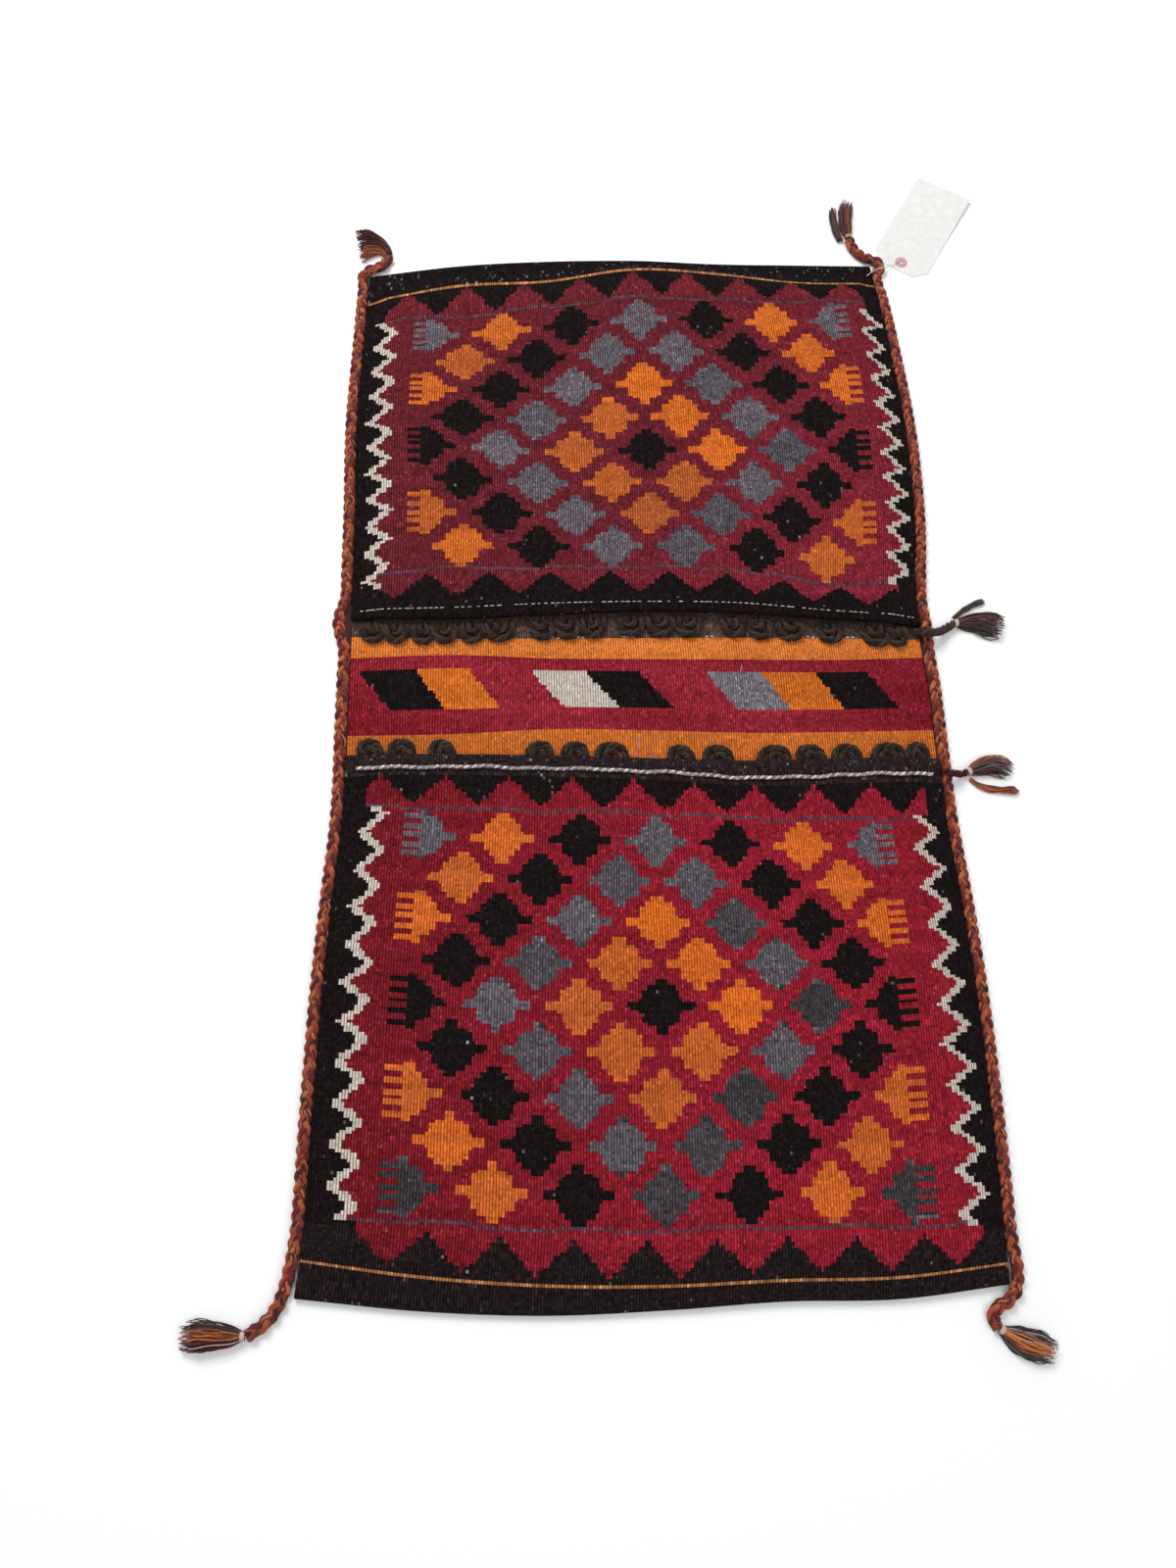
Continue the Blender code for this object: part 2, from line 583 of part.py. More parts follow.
def flat_strip():
    """The strip before it is folded, as a coarse grid of faces."""
    columns = [-HALF_WIDTH] + [PLATEAU * k / 10 for k in range(-10, 11)] + [HALF_WIDTH]
    rows = strip_rows()
    bm = bmesh.new()
    grid = [[bm.verts.new((a, s, 0)) for a in columns] for s in rows]
    for lower, upper in zip(grid, grid[1:]):
        for k in range(len(columns) - 1):
            bm.faces.new((lower[k], lower[k + 1], upper[k + 1], upper[k]))
    return bm


def cut_bridge(bm):
    """Cut the bands and slanting blocks of the bridge."""
    everywhere = within(-HALF_WIDTH, HALF_WIDTH, -LOWER_LIP - HEM_DEPTH, UPPER_LIP + HEM_DEPTH)
    edges = (-LOWER_LIP, STRIPE_LOWER_TOP, SLANT_BOTTOM, SLANT_TOP, STRIPE_UPPER_BOTTOM, BROWN_BOTTOM,
             UPPER_LIP)
    for b in edges:
        cut_across(bm, everywhere, b)
    blocks = within(-HALF_WIDTH, HALF_WIDTH, SLANT_BOTTOM, SLANT_TOP)
    for start, width, slant, names in SLANT_GROUPS:
        for k in range(len(names) + 1):
            a = start + k * width
            near = within(a - slant, a + 2 * slant, SLANT_BOTTOM, SLANT_TOP)
            cut_slanted(bm, lambda p: blocks(p) and near(p), (a, SLANT_TOP), (a + slant, SLANT_BOTTOM))


def woven_strip(home):
    bm = flat_strip()
    cut_bridge(bm)
    everywhere = within(-HALF_WIDTH, HALF_WIDTH, -2 * HALF_LENGTH, 2 * HALF_LENGTH)
    fronts = (("lower", LOWER_CENTRE, LOWER_PITCH, (-4, 4), LOWER_NEAR, LOWER_FAR),
              ("upper", UPPER_CENTRE, UPPER_PITCH, (-4, 3), UPPER_NEAR, UPPER_FAR))
    for pouch, centre, pitch, rows, near, far in fronts:
        for border in (near, far):
            cut_across(bm, everywhere, front_s(border["base"]))
            cut_across(bm, everywhere, front_s(border["tip"]))
            cut_border(bm, border)
        cut_field(bm, centre, pitch, rows, front_s(near["base"]), front_s(far["base"]))
        for side in (-1, 1):
            cut_zigzag(bm, side, ZIGZAGS[(pouch, side)])
    for line in TAN_LINES:
        for edge in (-THIN_LINE / 2, THIN_LINE / 2):
            cut_across(bm, everywhere, front_s(line + edge))
    names = list(COLOURS)
    for face in bm.faces:
        middle = face.calc_center_median()
        face.material_index = names.index(strip_colour(middle.x, middle.y))
    for vert in bm.verts:
        vert.co = strip_point(vert.co.x, vert.co.y)
    mesh = bpy.data.meshes.new("woven_strip")
    bm.to_mesh(mesh)
    bm.free()
    for name in names:
        mesh.materials.append(wool(name))
    strip = new_object("woven_strip", mesh, home)
    solid = strip.modifiers.new("thickness", "SOLIDIFY")
    solid.thickness = CLOTH
    solid.offset = 0.0
    solid.use_even_offset = True
    return strip


def smooth_route(points, spacing):
    """Evenly spaced points on a smooth curve through a hand-chosen route."""
    points = np.asarray(points, float)
    steps = np.linalg.norm(np.diff(points, axis=0), axis=1)
    along = np.concatenate(([0.0], np.cumsum(steps)))
    count = max(int(round(along[-1] / spacing)), 2)
    places = np.linspace(0.0, along[-1], count + 1)
    return np.stack([smooth_through(along, points[:, k], places) for k in range(points.shape[1])], axis=1)


def loft(name, rings, home, paint):
    """Closed solid through rings of points; paint gives the colour of face j between rings i and i + 1."""
    bm = bmesh.new()
    sides = len(rings[0])
    rows = [[bm.verts.new(point) for point in ring] for ring in rings]
    names = []
    for i, (near, far) in enumerate(zip(rows, rows[1:])):
        for j in range(sides):
            face = bm.faces.new((near[j], near[(j + 1) % sides], far[(j + 1) % sides], far[j]))
            colour = paint(i, j)
            if colour not in names:
                names.append(colour)
            face.material_index = names.index(colour)
    bm.faces.new(list(reversed(rows[0])))
    bm.faces.new(rows[-1])
    bmesh.ops.recalc_face_normals(bm, faces=bm.faces)
    mesh = bpy.data.meshes.new(name)
    bm.to_mesh(mesh)
    bm.free()
    for colour in names:
        mesh.materials.append(wool(colour))
    mesh.shade_smooth()
    return new_object(name, mesh, home)


def ring_at(centre, heading, half_width, half_height, sides):
    """Oval ring standing across a plan heading, with a flat side at its bottom."""
    across = Vector((heading.y, -heading.x, 0)).normalized()
    ring = []
    for j in range(sides):
        angle = math.pi * (2 * j + 1) / sides - math.pi / 2
        rise = Vector((0, 0, half_height * math.sin(angle)))
        ring.append(centre + across * half_width * math.cos(angle) + rise)
    return ring


def headings(points):
    ends = [points[0]] + list(points) + [points[-1]]
    return [(ends[k + 2] - ends[k]).normalized() for k in range(len(points))]


def plait(name, route, home):
    """Braid of rust and maroon yarn: its lobes swell and cross the top by turns."""
    lift = BRAID_HEIGHT / 2 * math.cos(math.pi / BRAID_SIDES)
    points = [Vector((x, y, lift)) for x, y in smooth_route(route, BRAID_LOBE / 2)]
    rings = []
    for i, (point, heading) in enumerate(zip(points, headings(points))):
        half_width = BRAID_WIDTH / 2 - BRAID_SWELL * (i % 2)
        rings.append(ring_at(point, heading, half_width, BRAID_HEIGHT / 2, BRAID_SIDES))

    def paint(i, j):
        on_top = j == BRAID_SIDES // 2 - 1
        left = j >= BRAID_SIDES // 2 or (on_top and i % 2 == 0)
        return "rust" if (i // 2 + left) % 2 else "maroon"

    return loft(name, rings, home, paint)


def braid_route(side, head, tail, swing):
    """A braid follows its side of the cloth, a named gap outside it, and swings out by the upper mouth."""
    start, end = head[-1][1] - BRAID_LOBE, tail[0][1] + BRAID_LOBE
    count = int((start - end) / (2 * BRAID_LOBE))
    along = []
    for k in range(count + 1):
        y = start + (end - start) * k / count
        out = BRAID_WIDTH / 2 + BRAID_GAP + swing * math.exp(-((y - SWING_HEIGHT) / BRAID_LOBE) ** 2)
        along.append((side_at(side, y) + side * out, y))
    return list(head) + along + list(tail)


def hank(name, colour, tied, stations, home):
    """Loose hank of yarn lying on the floor; a tied one has a raised round neck."""
    points = [Vector((x, y, 0)) for x, y, _ in stations]
    ways = headings(points)
    rings = []
    if tied:
        neck = TIE_RADIUS - TIE_WIRE - SEAT_GAP
        for along in (0.0, NECK_LENGTH):
            centre = points[0] + ways[0] * along + Vector((0, 0, TIE_RADIUS + TIE_WIRE))
            rings.append(ring_at(centre, ways[0], neck, neck, TASSEL_SIDES))
    for point, way, (_, _, half_width) in list(zip(points, ways, stations))[len(rings) // 2:]:
        half_height = max(half_width, LOOP_CORD) * TASSEL_FLATNESS
        lift = half_height * math.cos(math.pi / TASSEL_SIDES)
        rings.append(ring_at(point + Vector((0, 0, lift)), way, half_width, half_height, TASSEL_SIDES))
    loft(name, rings, home, lambda i, j: colour)
    if tied:
        tie(name.replace("tassel", "tie"), points[0] + ways[0] * NECK_LENGTH / 2, ways[0], tied, home)


def tie(name, place, way, colour, home):
    """Yarn tied round the neck of a tassel."""
    bpy.ops.mesh.primitive_torus_add(major_segments=12, minor_segments=6, major_radius=TIE_RADIUS,
                                     minor_radius=TIE_WIRE)
    ring = bpy.context.object
    ring.name = name
    turn = Vector((0, 0, 1)).rotation_difference(way).to_matrix().to_4x4()
    ring.matrix_world = Matrix.Translation(place + Vector((0, 0, TIE_RADIUS + TIE_WIRE))) @ turn
    ring.data.materials.append(wool(colour))
    ring.data.shade_smooth()
    for other in list(ring.users_collection):
        other.objects.unlink(ring)
    home.objects.link(ring)


def cord(name, places, diameter, colour, home):
    """Round cord along a polyline, with filled ends."""
    curve = bpy.data.curves.new(name, "CURVE")
    curve.dimensions = "3D"
    curve.bevel_depth = diameter / 2
    curve.bevel_resolution = 1
    curve.use_fill_caps = True
    spline = curve.splines.new("POLY")
    spline.points.add(len(places) - 1)
    for target, place in zip(spline.points, places):
        target.co = (*place, 1.0)
    curve.materials.append(wool(colour))
    return new_object(name, curve, home)


def raised_route(route, diameter, spacing):
    """Smooth route of a cord from plan points and how far each is raised over the braid."""
    over = BRAID_HEIGHT + 2 * SEAT_GAP
    return smooth_route([(x, y, diameter / 2 + up * over) for x, y, up in route], spacing)


def closure_loops(home):
    """Loops of goat-hair cord along the two mouths, lying on the bridge against each lip."""
    top = CLOTH + SEAT_GAP + LOOP_CORD / 2
    shape = ((-1.0, 0.0), (-0.95, 0.45), (-0.6, 0.85), (0.0, 1.0), (0.6, 0.85), (0.95, 0.45), (1.0, 0.0))
    for mouth, loops, side, lip, reach in (("upper", UPPER_LOOPS, 1, UPPER_LIP, UPPER_LOOP_DROP),
                                           ("lower", LOWER_LOOPS, -1, LOWER_LIP, LOWER_LOOP_RISE)):
        for number, (middle, width) in enumerate(loops, start=1):
            x = middle * HALF_WIDTH
            half = width * HALF_WIDTH / 2 - LOOP_CORD / 2 - SEAT_GAP
            edge = min(side * line_height(side * lip, x + k * half) for k in (-1, 0, 1))
            root = edge - LOOP_CORD / 2 - SEAT_GAP
            points = [(x + u * half, side * (root - v * reach), top) for u, v in shape]
            places = smooth_route(points, LOOP_CORD)
            cord(f"closure_loop_{mouth}_{number:02d}", places, LOOP_CORD, "brown", home)


def laid_cord(home):
    """White cord couched along the lower lip, on top of the pouch front."""
    end = HALF_WIDTH - SIDE_SLOPE / 3
    points = []
    for a in [-end] + [PLATEAU * k / 10 for k in range(-10, 11)] + [end]:
        place = strip_point(a, front_s(LAID_CORD_HEIGHT))
        points.append(place + Vector((0, 0, CLOTH / 2 + SEAT_GAP + LAID_CORD / 2)))
    cord("laid_cord", points, LAID_CORD, "ivory", home)


def flat_piece(name, outlines, thickness, colour, home):
    """Flat sheet from closed outlines; an outline inside another is a hole."""
    curve = bpy.data.curves.new(name, "CURVE")
    curve.dimensions = "2D"
    curve.fill_mode = "BOTH"
    curve.extrude = thickness / 2
    for outline in outlines:
        spline = curve.splines.new("POLY")
        spline.points.add(len(outline) - 1)
        spline.use_cyclic_u = True
        for target, (x, y) in zip(spline.points, outline):
            target.co = (x, y, 0.0, 1.0)
    curve.materials.append(wool(colour))
    return new_object(name, curve, home)


def circle(radius, count):
    return [(radius * math.cos(2 * math.pi * k / count), radius * math.sin(2 * math.pi * k / count))
            for k in range(count)]


def curled_sheet(name, outlines, bends, lift, thickness, colour, home):
    """Sheet from closed outlines with holes, bent across its length and lifted by a rule."""
    bm = bmesh.new()
    for outline in outlines:
        verts = [bm.verts.new((x, y, 0)) for x, y in outline]
        for k, vert in enumerate(verts):
            bm.edges.new((verts[k - 1], vert))
    bmesh.ops.triangle_fill(bm, use_beauty=True, edges=bm.edges[:])
    for x in bends:
        geom = bm.verts[:] + bm.edges[:] + bm.faces[:]
        bmesh.ops.bisect_plane(bm, geom=geom, dist=1e-6, plane_co=(x, 0, 0), plane_no=(1, 0, 0))
    for vert in bm.verts:
        vert.co.z = lift(vert.co.x, vert.co.y)
    bmesh.ops.recalc_face_normals(bm, faces=bm.faces)
    mesh = bpy.data.meshes.new(name)
    bm.to_mesh(mesh)
    bm.free()
    mesh.materials.append(wool(colour))
    sheet = new_object(name, mesh, home)
    solid = sheet.modifiers.new("thickness", "SOLIDIFY")
    solid.thickness = thickness
    solid.offset = 0.0
    return sheet


def paper_tag(home):
    """Blank paper tag with a reinforced eyelet, lying beside the bag's corner on its string."""
    half = TAG_WIDTH / 2
    end = TAG_LENGTH - EYELET_EDGE
    outline = [(-EYELET_EDGE, -half + TAG_CLIP), (-EYELET_EDGE + TAG_CLIP, -half), (end, -half), (end, half),
               (-EYELET_EDGE + TAG_CLIP, half), (-EYELET_EDGE, half - TAG_CLIP)]
    hole = circle(EYELET_INNER, 12)
    eyelet = hung_from("top_right", [EYELET_PLACE])[0]
    place = Matrix.Translation((*eyelet, 0)) @ Matrix.Rotation(math.radians(TAG_HEADING), 4, "Z")
    start = 2 * EYELET_OUTER
    bends = [start + (end - start) * k / TAG_BENDS for k in range(TAG_BENDS)]

    def lift(along, across):
        share = min(max((along - start) / (end - start), 0.0), 1.0)
        return TAG_CURL * share**2 * (0.5 - across / TAG_WIDTH)

    tag = curled_sheet("paper_tag", [outline, hole], bends, lift, TAG_THICKNESS, "paper", home)
    tag.matrix_world = Matrix.Translation((0, 0, TAG_THICKNESS / 2)) @ place
    ring = flat_piece("tag_eyelet", [circle(EYELET_OUTER, 24), hole], TAG_THICKNESS, "pink", home)
    ring.matrix_world = Matrix.Translation((0, 0, 1.5 * TAG_THICKNESS + SEAT_GAP)) @ place
    route = hung_from("top_right", STRING_ROUTE)
    places = raised_route(route, STRING_DIAMETER, 3 * STRING_DIAMETER)
    cord("tag_string", places, STRING_DIAMETER, "ivory", home)


def main():
    clear_scene()
    home = bpy.data.collections.new("kilim_saddle_bag")
    bpy.context.scene.collection.children.link(home)
    woven_strip(home)
    for side, end, head, tail, swing in ((-1, "left", LEFT_HEAD, LEFT_TAIL, LEFT_SWING),
                                         (1, "right", RIGHT_HEAD, RIGHT_TAIL, RIGHT_SWING)):
        head = hung_from("top_" + end, head)
        tail = hung_from("bottom_" + end, tail)
        plait("braid_" + end, braid_route(side, head, tail, swing), home)
    for name, (anchor, colour, tied, stations) in TASSELS.items():
        hank("tassel_" + name, colour, tied, hung_from(anchor, stations), home)
    for mouth, route, colour in (("upper", UPPER_MOUTH_CORD, "brown"),
                                 ("lower", LOWER_MOUTH_CORD, "maroon")):
        places = raised_route(hung_from(mouth + "_mouth", route), MOUTH_CORD, MOUTH_CORD)
        cord("mouth_cord_" + mouth, places, MOUTH_CORD, colour, home)
    closure_loops(home)
    laid_cord(home)
    paper_tag(home)


main()
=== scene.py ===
# Kilim saddle bag lying flat: woven cloth, plaited sides, closure loops, tassels and a blank tag.

import math
from functools import partial

import bpy
import numpy as np
from mathutils import Matrix, Vector


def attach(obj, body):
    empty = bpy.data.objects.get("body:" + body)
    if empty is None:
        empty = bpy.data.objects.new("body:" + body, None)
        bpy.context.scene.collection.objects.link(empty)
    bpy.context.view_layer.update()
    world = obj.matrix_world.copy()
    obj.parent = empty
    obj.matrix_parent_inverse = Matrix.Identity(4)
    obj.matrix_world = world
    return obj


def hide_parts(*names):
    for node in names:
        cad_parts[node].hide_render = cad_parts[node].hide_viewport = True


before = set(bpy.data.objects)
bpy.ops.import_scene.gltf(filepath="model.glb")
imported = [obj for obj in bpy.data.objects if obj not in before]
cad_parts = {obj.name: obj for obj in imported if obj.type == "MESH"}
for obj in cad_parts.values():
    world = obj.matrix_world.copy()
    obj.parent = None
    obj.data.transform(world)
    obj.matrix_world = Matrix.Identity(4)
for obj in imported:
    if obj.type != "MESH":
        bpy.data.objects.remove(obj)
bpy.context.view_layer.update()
RNG = np.random.default_rng(7)

# Folded strip, in the same frame and with the same values as the solids
CLOTH = 0.0030
HALF_WIDTH = 0.270
HALF_LENGTH = 0.490
FOLD_GAP = 0.0012
POUCH_GAP = 0.0092
SIDE_SLOPE = 0.029
FOLD_SLOPE = 0.030
SLOPE_SPREAD = 1.25
HEM_DEPTH = 0.014
HEM_GAP = 0.0006
LOWER_LIP = 0.0390
UPPER_LIP = 0.0960
WEFT_BOW = 0.008
FOLD_RADIUS = (CLOTH + FOLD_GAP) / 2
HEM_RADIUS = (CLOTH + HEM_GAP) / 2
FOLD_REACH = HALF_LENGTH - FOLD_RADIUS - CLOTH / 2
FOLD_CHART = HALF_LENGTH - 0.001

# Lie of the cloth: slack on the fronts, the rolled lips and the dip where the hem is stitched
SLACK = 0.00045
SLACK_MARGIN = 0.05
SLACK_FROM_LIP = 0.03
LIP_ROLL = 0.0008
HEM_DIP = 0.0006
HEM_DIP_WIDTH = 0.0016
ROLL_MARGIN = 0.02

# One woven cell: a warp rib wide, a pair of wefts high
RIB = 0.00235
WEFT = 0.0024

# Longer and shorter cells in the folds, the hems and the unseen back
FOLD_CELL = 0.0011
HEM_FOLD_CELL = 0.0009
HEM_CELL = 0.0035
BACK_CELL = 0.0098
SEEN_BRIDGE = (-0.075, 0.125)

# Real heights of the chart's lines, at seven stations across, and the two sides as height and place
STATIONS = tuple(HALF_WIDTH * k / 3 for k in range(-3, 4))
LEVELS = (
    (-0.4900, (-0.4785, -0.4895, -0.4945, -0.4925, -0.4880, -0.4880, -0.4790)),
    (-0.4720, (-0.4520, -0.4660, -0.4740, -0.4760, -0.4735, -0.4730, -0.4640)),
    (-0.4290, (-0.4178, -0.4250, -0.4320, -0.4340, -0.4330, -0.4340, -0.4319)),
    (-0.2600, (-0.2477, -0.2542, -0.2582, -0.2592, -0.2592, -0.2582, -0.2518)),
    (-0.0900, (-0.0838, -0.0884, -0.0904, -0.0934, -0.0974, -0.0984, -0.0958)),
    (-0.0550, (-0.0515, -0.0505, -0.0520, -0.0550, -0.0605, -0.0575, -0.0550)),
    (-0.0390, (-0.0370, -0.0375, -0.0385, -0.0410, -0.0430, -0.0405, -0.0390)),
    (-0.0150, (-0.0175, -0.0155, -0.0105, -0.0115, -0.0135, -0.0125, -0.0105)),
    (0.0545, (0.0565, 0.0605, 0.0575, 0.0575, 0.0575, 0.0575, 0.0605)),
    (0.0780, (0.0790, 0.0780, 0.0790, 0.0800, 0.0810, 0.0810, 0.0800)),
    (0.0960, (0.0920, 0.0920, 0.0970, 0.1010, 0.1000, 0.0945, 0.0900)),
    (0.1110, (0.1040, 0.1085, 0.1135, 0.1150, 0.1145, 0.1065, 0.1020)),
    (0.1390, (0.1336, 0.1414, 0.1424, 0.1444, 0.1414, 0.1284, 0.1295)),
    (0.2715, (0.2764, 0.2712, 0.2652, 0.2692, 0.2712, 0.2722, 0.2764)),
    (0.4410, (0.4092, 0.4171, 0.4301, 0.4440, 0.4430, 0.4430, 0.4485)),
    (0.4670, (0.4350, 0.4570, 0.4645, 0.4815, 0.4780, 0.4690, 0.4700)),
    (0.4900, (0.4700, 0.4850, 0.4928, 0.4957, 0.4938, 0.4948, 0.4957)),
)
LEFT_SIDE = ((-0.48, -0.2868), (-0.44, -0.2822), (-0.35, -0.279), (-0.24, -0.275), (-0.16, -0.27),
             (-0.1, -0.2652), (0.0, -0.2645), (0.11, -0.2645), (0.2, -0.265), (0.3, -0.2668),
             (0.4, -0.263), (0.48, -0.26))
RIGHT_SIDE = ((-0.48, 0.27), (-0.35, 0.2708), (-0.25, 0.2695), (-0.15, 0.264), (-0.1, 0.26),
              (-0.03, 0.2585), (0.03, 0.2577), (0.11, 0.2534), (0.2, 0.2605), (0.3, 0.2615), (0.4, 0.254),
              (0.44, 0.2499), (0.48, 0.2446), (0.5, 0.242))

# Pattern, as chart heights and widths
LOWER_PITCH = 0.0660
UPPER_PITCH = 0.0698
ROW_PITCH = 0.0362
LOWER_CENTRE = (-0.0029, -0.2596)
UPPER_CENTRE = (0.0021, 0.2714)
FIELDS = {"lower": (LOWER_CENTRE, LOWER_PITCH, (-4, 4)), "upper": (UPPER_CENTRE, UPPER_PITCH, (-4, 3))}
STEP = 0.0035

# A motif's half heights with its half width up to each, and the comb that ends a half motif
MOTIF_STEPS = ((0.0035, 0.0266), (0.0052, 0.0180), (0.0127, 0.0154), (0.0170, 0.0108), (0.0226, 0.0049))
MOTIF_HEIGHT_JITTER = 0.0006
MOTIF_WIDTH_JITTER = 0.0012
SLANT_JITTER = 0.0007
COMB_REACH = {"lower": 0.0180, "upper": 0.0152}
COMB_BACK = 0.0030
COMB_PITCH = 0.0087
COMB_TOOTH = 0.27
COMB_HALF_HEIGHT = 0.0197

# Stripes and slanting blocks of the bridge, the blocks as start, width, slant and colours
STRIPE_LOWER_TOP = -0.0150
STRIPE_UPPER_BOTTOM = 0.0545
BROWN_BOTTOM = 0.0780
BRIDGE_BOTTOM = -0.07
BRIDGE_TOP = 0.13
SLANT_BOTTOM = 0.0075
SLANT_TOP = 0.0438
SLANT_GROUPS = (
    (-0.264, 0.0485, 0.0300, ("black", "orange")),
    (-0.113, 0.0500, 0.0340, ("ivory", "black")),
    (0.0505, 0.0525, 0.0295, ("grey", "orange", "black")),
)

# Toothed borders at the near and far end of each pouch, thin lines and zigzags
BORDERS = {
    "lower": (
        {"base": -0.0865, "tip": -0.0625, "phase": -0.0207, "pitch": 0.0547, "line": -0.0900},
        {"base": -0.4365, "tip": -0.4645, "phase": 0.0097, "pitch": 0.0545, "line": -0.4290},
    ),
    "upper": (
        {"base": 0.1365, "tip": 0.1155, "phase": -0.0070, "pitch": 0.0562, "line": 0.1400},
        {"base": 0.4425, "tip": 0.4650, "phase": -0.0004, "pitch": 0.0573, "line": 0.4405},
    ),
}
TOOTH_STEPS = 7
TAN_LINES = (-0.4715, 0.4665)
LINE_WANDER = 0.0006
ZIGZAG_WIDTH = 0.0088
ZIGZAG_JITTER = 0.0009
ZIGZAG_FIELDS = ("outer", "inner", "tip", "pitch", "skew", "top", "end", "corner")
ZIGZAG_ROWS = {
    ("lower", -1): (0.2575, 0.2305, -0.1082, 0.0319, 0.52, -0.0860, -0.4215, 0.2320),
    ("lower", 1): (0.2615, 0.2290, -0.1075, 0.0335, 0.52, -0.0950, -0.4330, 0.2505),
    ("upper", -1): (0.2625, 0.2355, 0.4105, 0.0280, 0.49, 0.4105, 0.1225, 0.2505),
    ("upper", 1): (0.2670, 0.2365, 0.4217, 0.0276, 0.42, 0.4370, 0.1290, 0.2505),
}
ZIGZAGS = {place: dict(zip(ZIGZAG_FIELDS, row)) for place, row in ZIGZAG_ROWS.items()}
CORNER_EDGE = 0.2505
YARNS = ("black", "madder", "orange", "grey", "ivory", "brown", "tan", "line")
CODE = {name: k for k, name in enumerate(YARNS)}

RIM_COLOUR = (0.020, 0.008, 0.009)

# Linear colours of the wefts: the two ends of each dye's range, then the single ones
MADDER = {
    "upper": ((0.136, 0.0165, 0.0235), (0.255, 0.0210, 0.0370)),
    "lower": ((0.180, 0.0110, 0.0175), (0.312, 0.0150, 0.0300)),
    "bridge": ((0.215, 0.0115, 0.0200), (0.320, 0.0220, 0.0370)),
}
ORANGE = {
    "upper": ((0.450, 0.105, 0.028), (0.760, 0.165, 0.022)),
    "lower": ((0.540, 0.120, 0.028), (0.770, 0.155, 0.020)),
}
GREY = {
    "upper": ((0.090, 0.078, 0.094), (0.145, 0.120, 0.140)),
    "lower": ((0.046, 0.040, 0.043), (0.135, 0.115, 0.136)),
}
UPPER_STRIPE_ORANGE = (0.760, 0.205, 0.040)
LOWER_STRIPE_ORANGE = (0.620, 0.155, 0.028)
SLANT_ORANGE = (0.640, 0.150, 0.020)
SLANT_GREY = (0.190, 0.172, 0.190)
BLACK = (0.0095, 0.0058, 0.0062)
PALE_MADDER = (0.035, 0.022, 0.025)
PALE_BLACK = (0.066, 0.060, 0.058)
SINGLE_YARNS = (
    ("ivory", (0.600, 0.520, 0.450), 0.12),
    ("brown", (0.104, 0.062, 0.050), 0.28),
    ("tan", (0.450, 0.190, 0.070), 0.30),
    ("line", (0.105, 0.050, 0.070), 0.25),
)

# Black bands that differ from the rest: chart heights, brightness and share of pale flecks
PALE_MADDER_SHARE = 0.022
PALE_BLACK_SHARE = 0.006
BLACK_BANDS = {
    "lower": ((-0.062, 0.0, 2.6, 0.050), (-HALF_LENGTH, -0.437, 1.7, PALE_BLACK_SHARE)),
    "upper": ((0.468, HALF_LENGTH, 1.0, 0.060),),
    "bridge": (),
}

# Yarns: length along one that its weave coordinate counts as one
UV_LENGTH = 0.01

# Side braids
BRAID_WIDTH = 0.0100
BRAID_HEIGHT = 0.0090
BRAID_LOBE = 0.0130
PLAIT_LOBE = 0.0100
BRAID_GAP = 0.0008
BRAID_CENTRE = BRAID_HEIGHT * 0.47
BRAID_SPACING = 0.0011
BRAID_CORE = 0.0046
BRAID_CORE_DROP = 0.0018
BRAID_YARN = 0.00135
BRAID_YARN_GAP = 0.0011
BRAID_SWAY = 0.0029
BRAID_RISE = 0.0016
BRAID_LOT = 0.0047
BRAID_COLOURS = ((0.370, 0.076, 0.026), (0.135, 0.013, 0.012), (0.265, 0.036, 0.018))
BRAID_BRIGHT = (0.480, 0.135, 0.040)
SEAM_HEIGHT = 0.0021
SEAM_WIDTH = 0.0009
SEAM_ENDS = (-0.45, 0.46)
LEFT_HEAD = ((-0.243, 0.495), (-0.2455, 0.488), (-0.2515, 0.4825), (-0.26, 0.479), (-0.2668, 0.4715))
LEFT_TAIL = ((-0.289, -0.445), (-0.2912, -0.458), (-0.2942, -0.471), (-0.2985, -0.483), (-0.3045, -0.492),
             (-0.3115, -0.4985), (-0.3212, -0.504))
LEFT_SWING = 0.0060
RIGHT_HEAD = ((0.225, 0.529), (0.2275, 0.52), (0.2325, 0.5125), (0.2395, 0.507), (0.249, 0.504),
              (0.2545, 0.4985))
RIGHT_TAIL = ((0.2768, -0.45), (0.278, -0.468), (0.2745, -0.484), (0.267, -0.4915), (0.2585, -0.496),
              (0.2545, -0.503), (0.258, -0.51))
RIGHT_SWING = 0.0020
SWING_HEIGHT = 0.0930

# Closure loops: middle and width of each
LOOP_CORD = 0.0056
CORD_SPACING = 0.0009
UPPER_LOOPS = ((-0.246, 0.022), (-0.224, 0.022), (-0.201, 0.022), (-0.179, 0.022), (-0.156, 0.022),
               (-0.131, 0.026), (-0.094, 0.022), (-0.07, 0.024), (-0.046, 0.022), (-0.012, 0.024),
               (0.015, 0.026), (0.042, 0.024), (0.081, 0.022), (0.106, 0.022), (0.134, 0.026),
               (0.17, 0.024), (0.213, 0.026), (0.2345, 0.016))
LOWER_LOOPS = ((-0.243, 0.022), (-0.217, 0.024), (-0.181, 0.022), (-0.097, 0.024), (-0.066, 0.024),
               (-0.033, 0.028), (0.029, 0.022), (0.061, 0.026), (0.11, 0.028), (0.145, 0.026),
               (0.176, 0.026), (0.213, 0.03), (0.239, 0.022))
UPPER_LOOP_DROP = 0.015
LOWER_LOOP_RISE = 0.009
LOOP_TUCK = 0.0030
LOOP_LEAN = 0.18
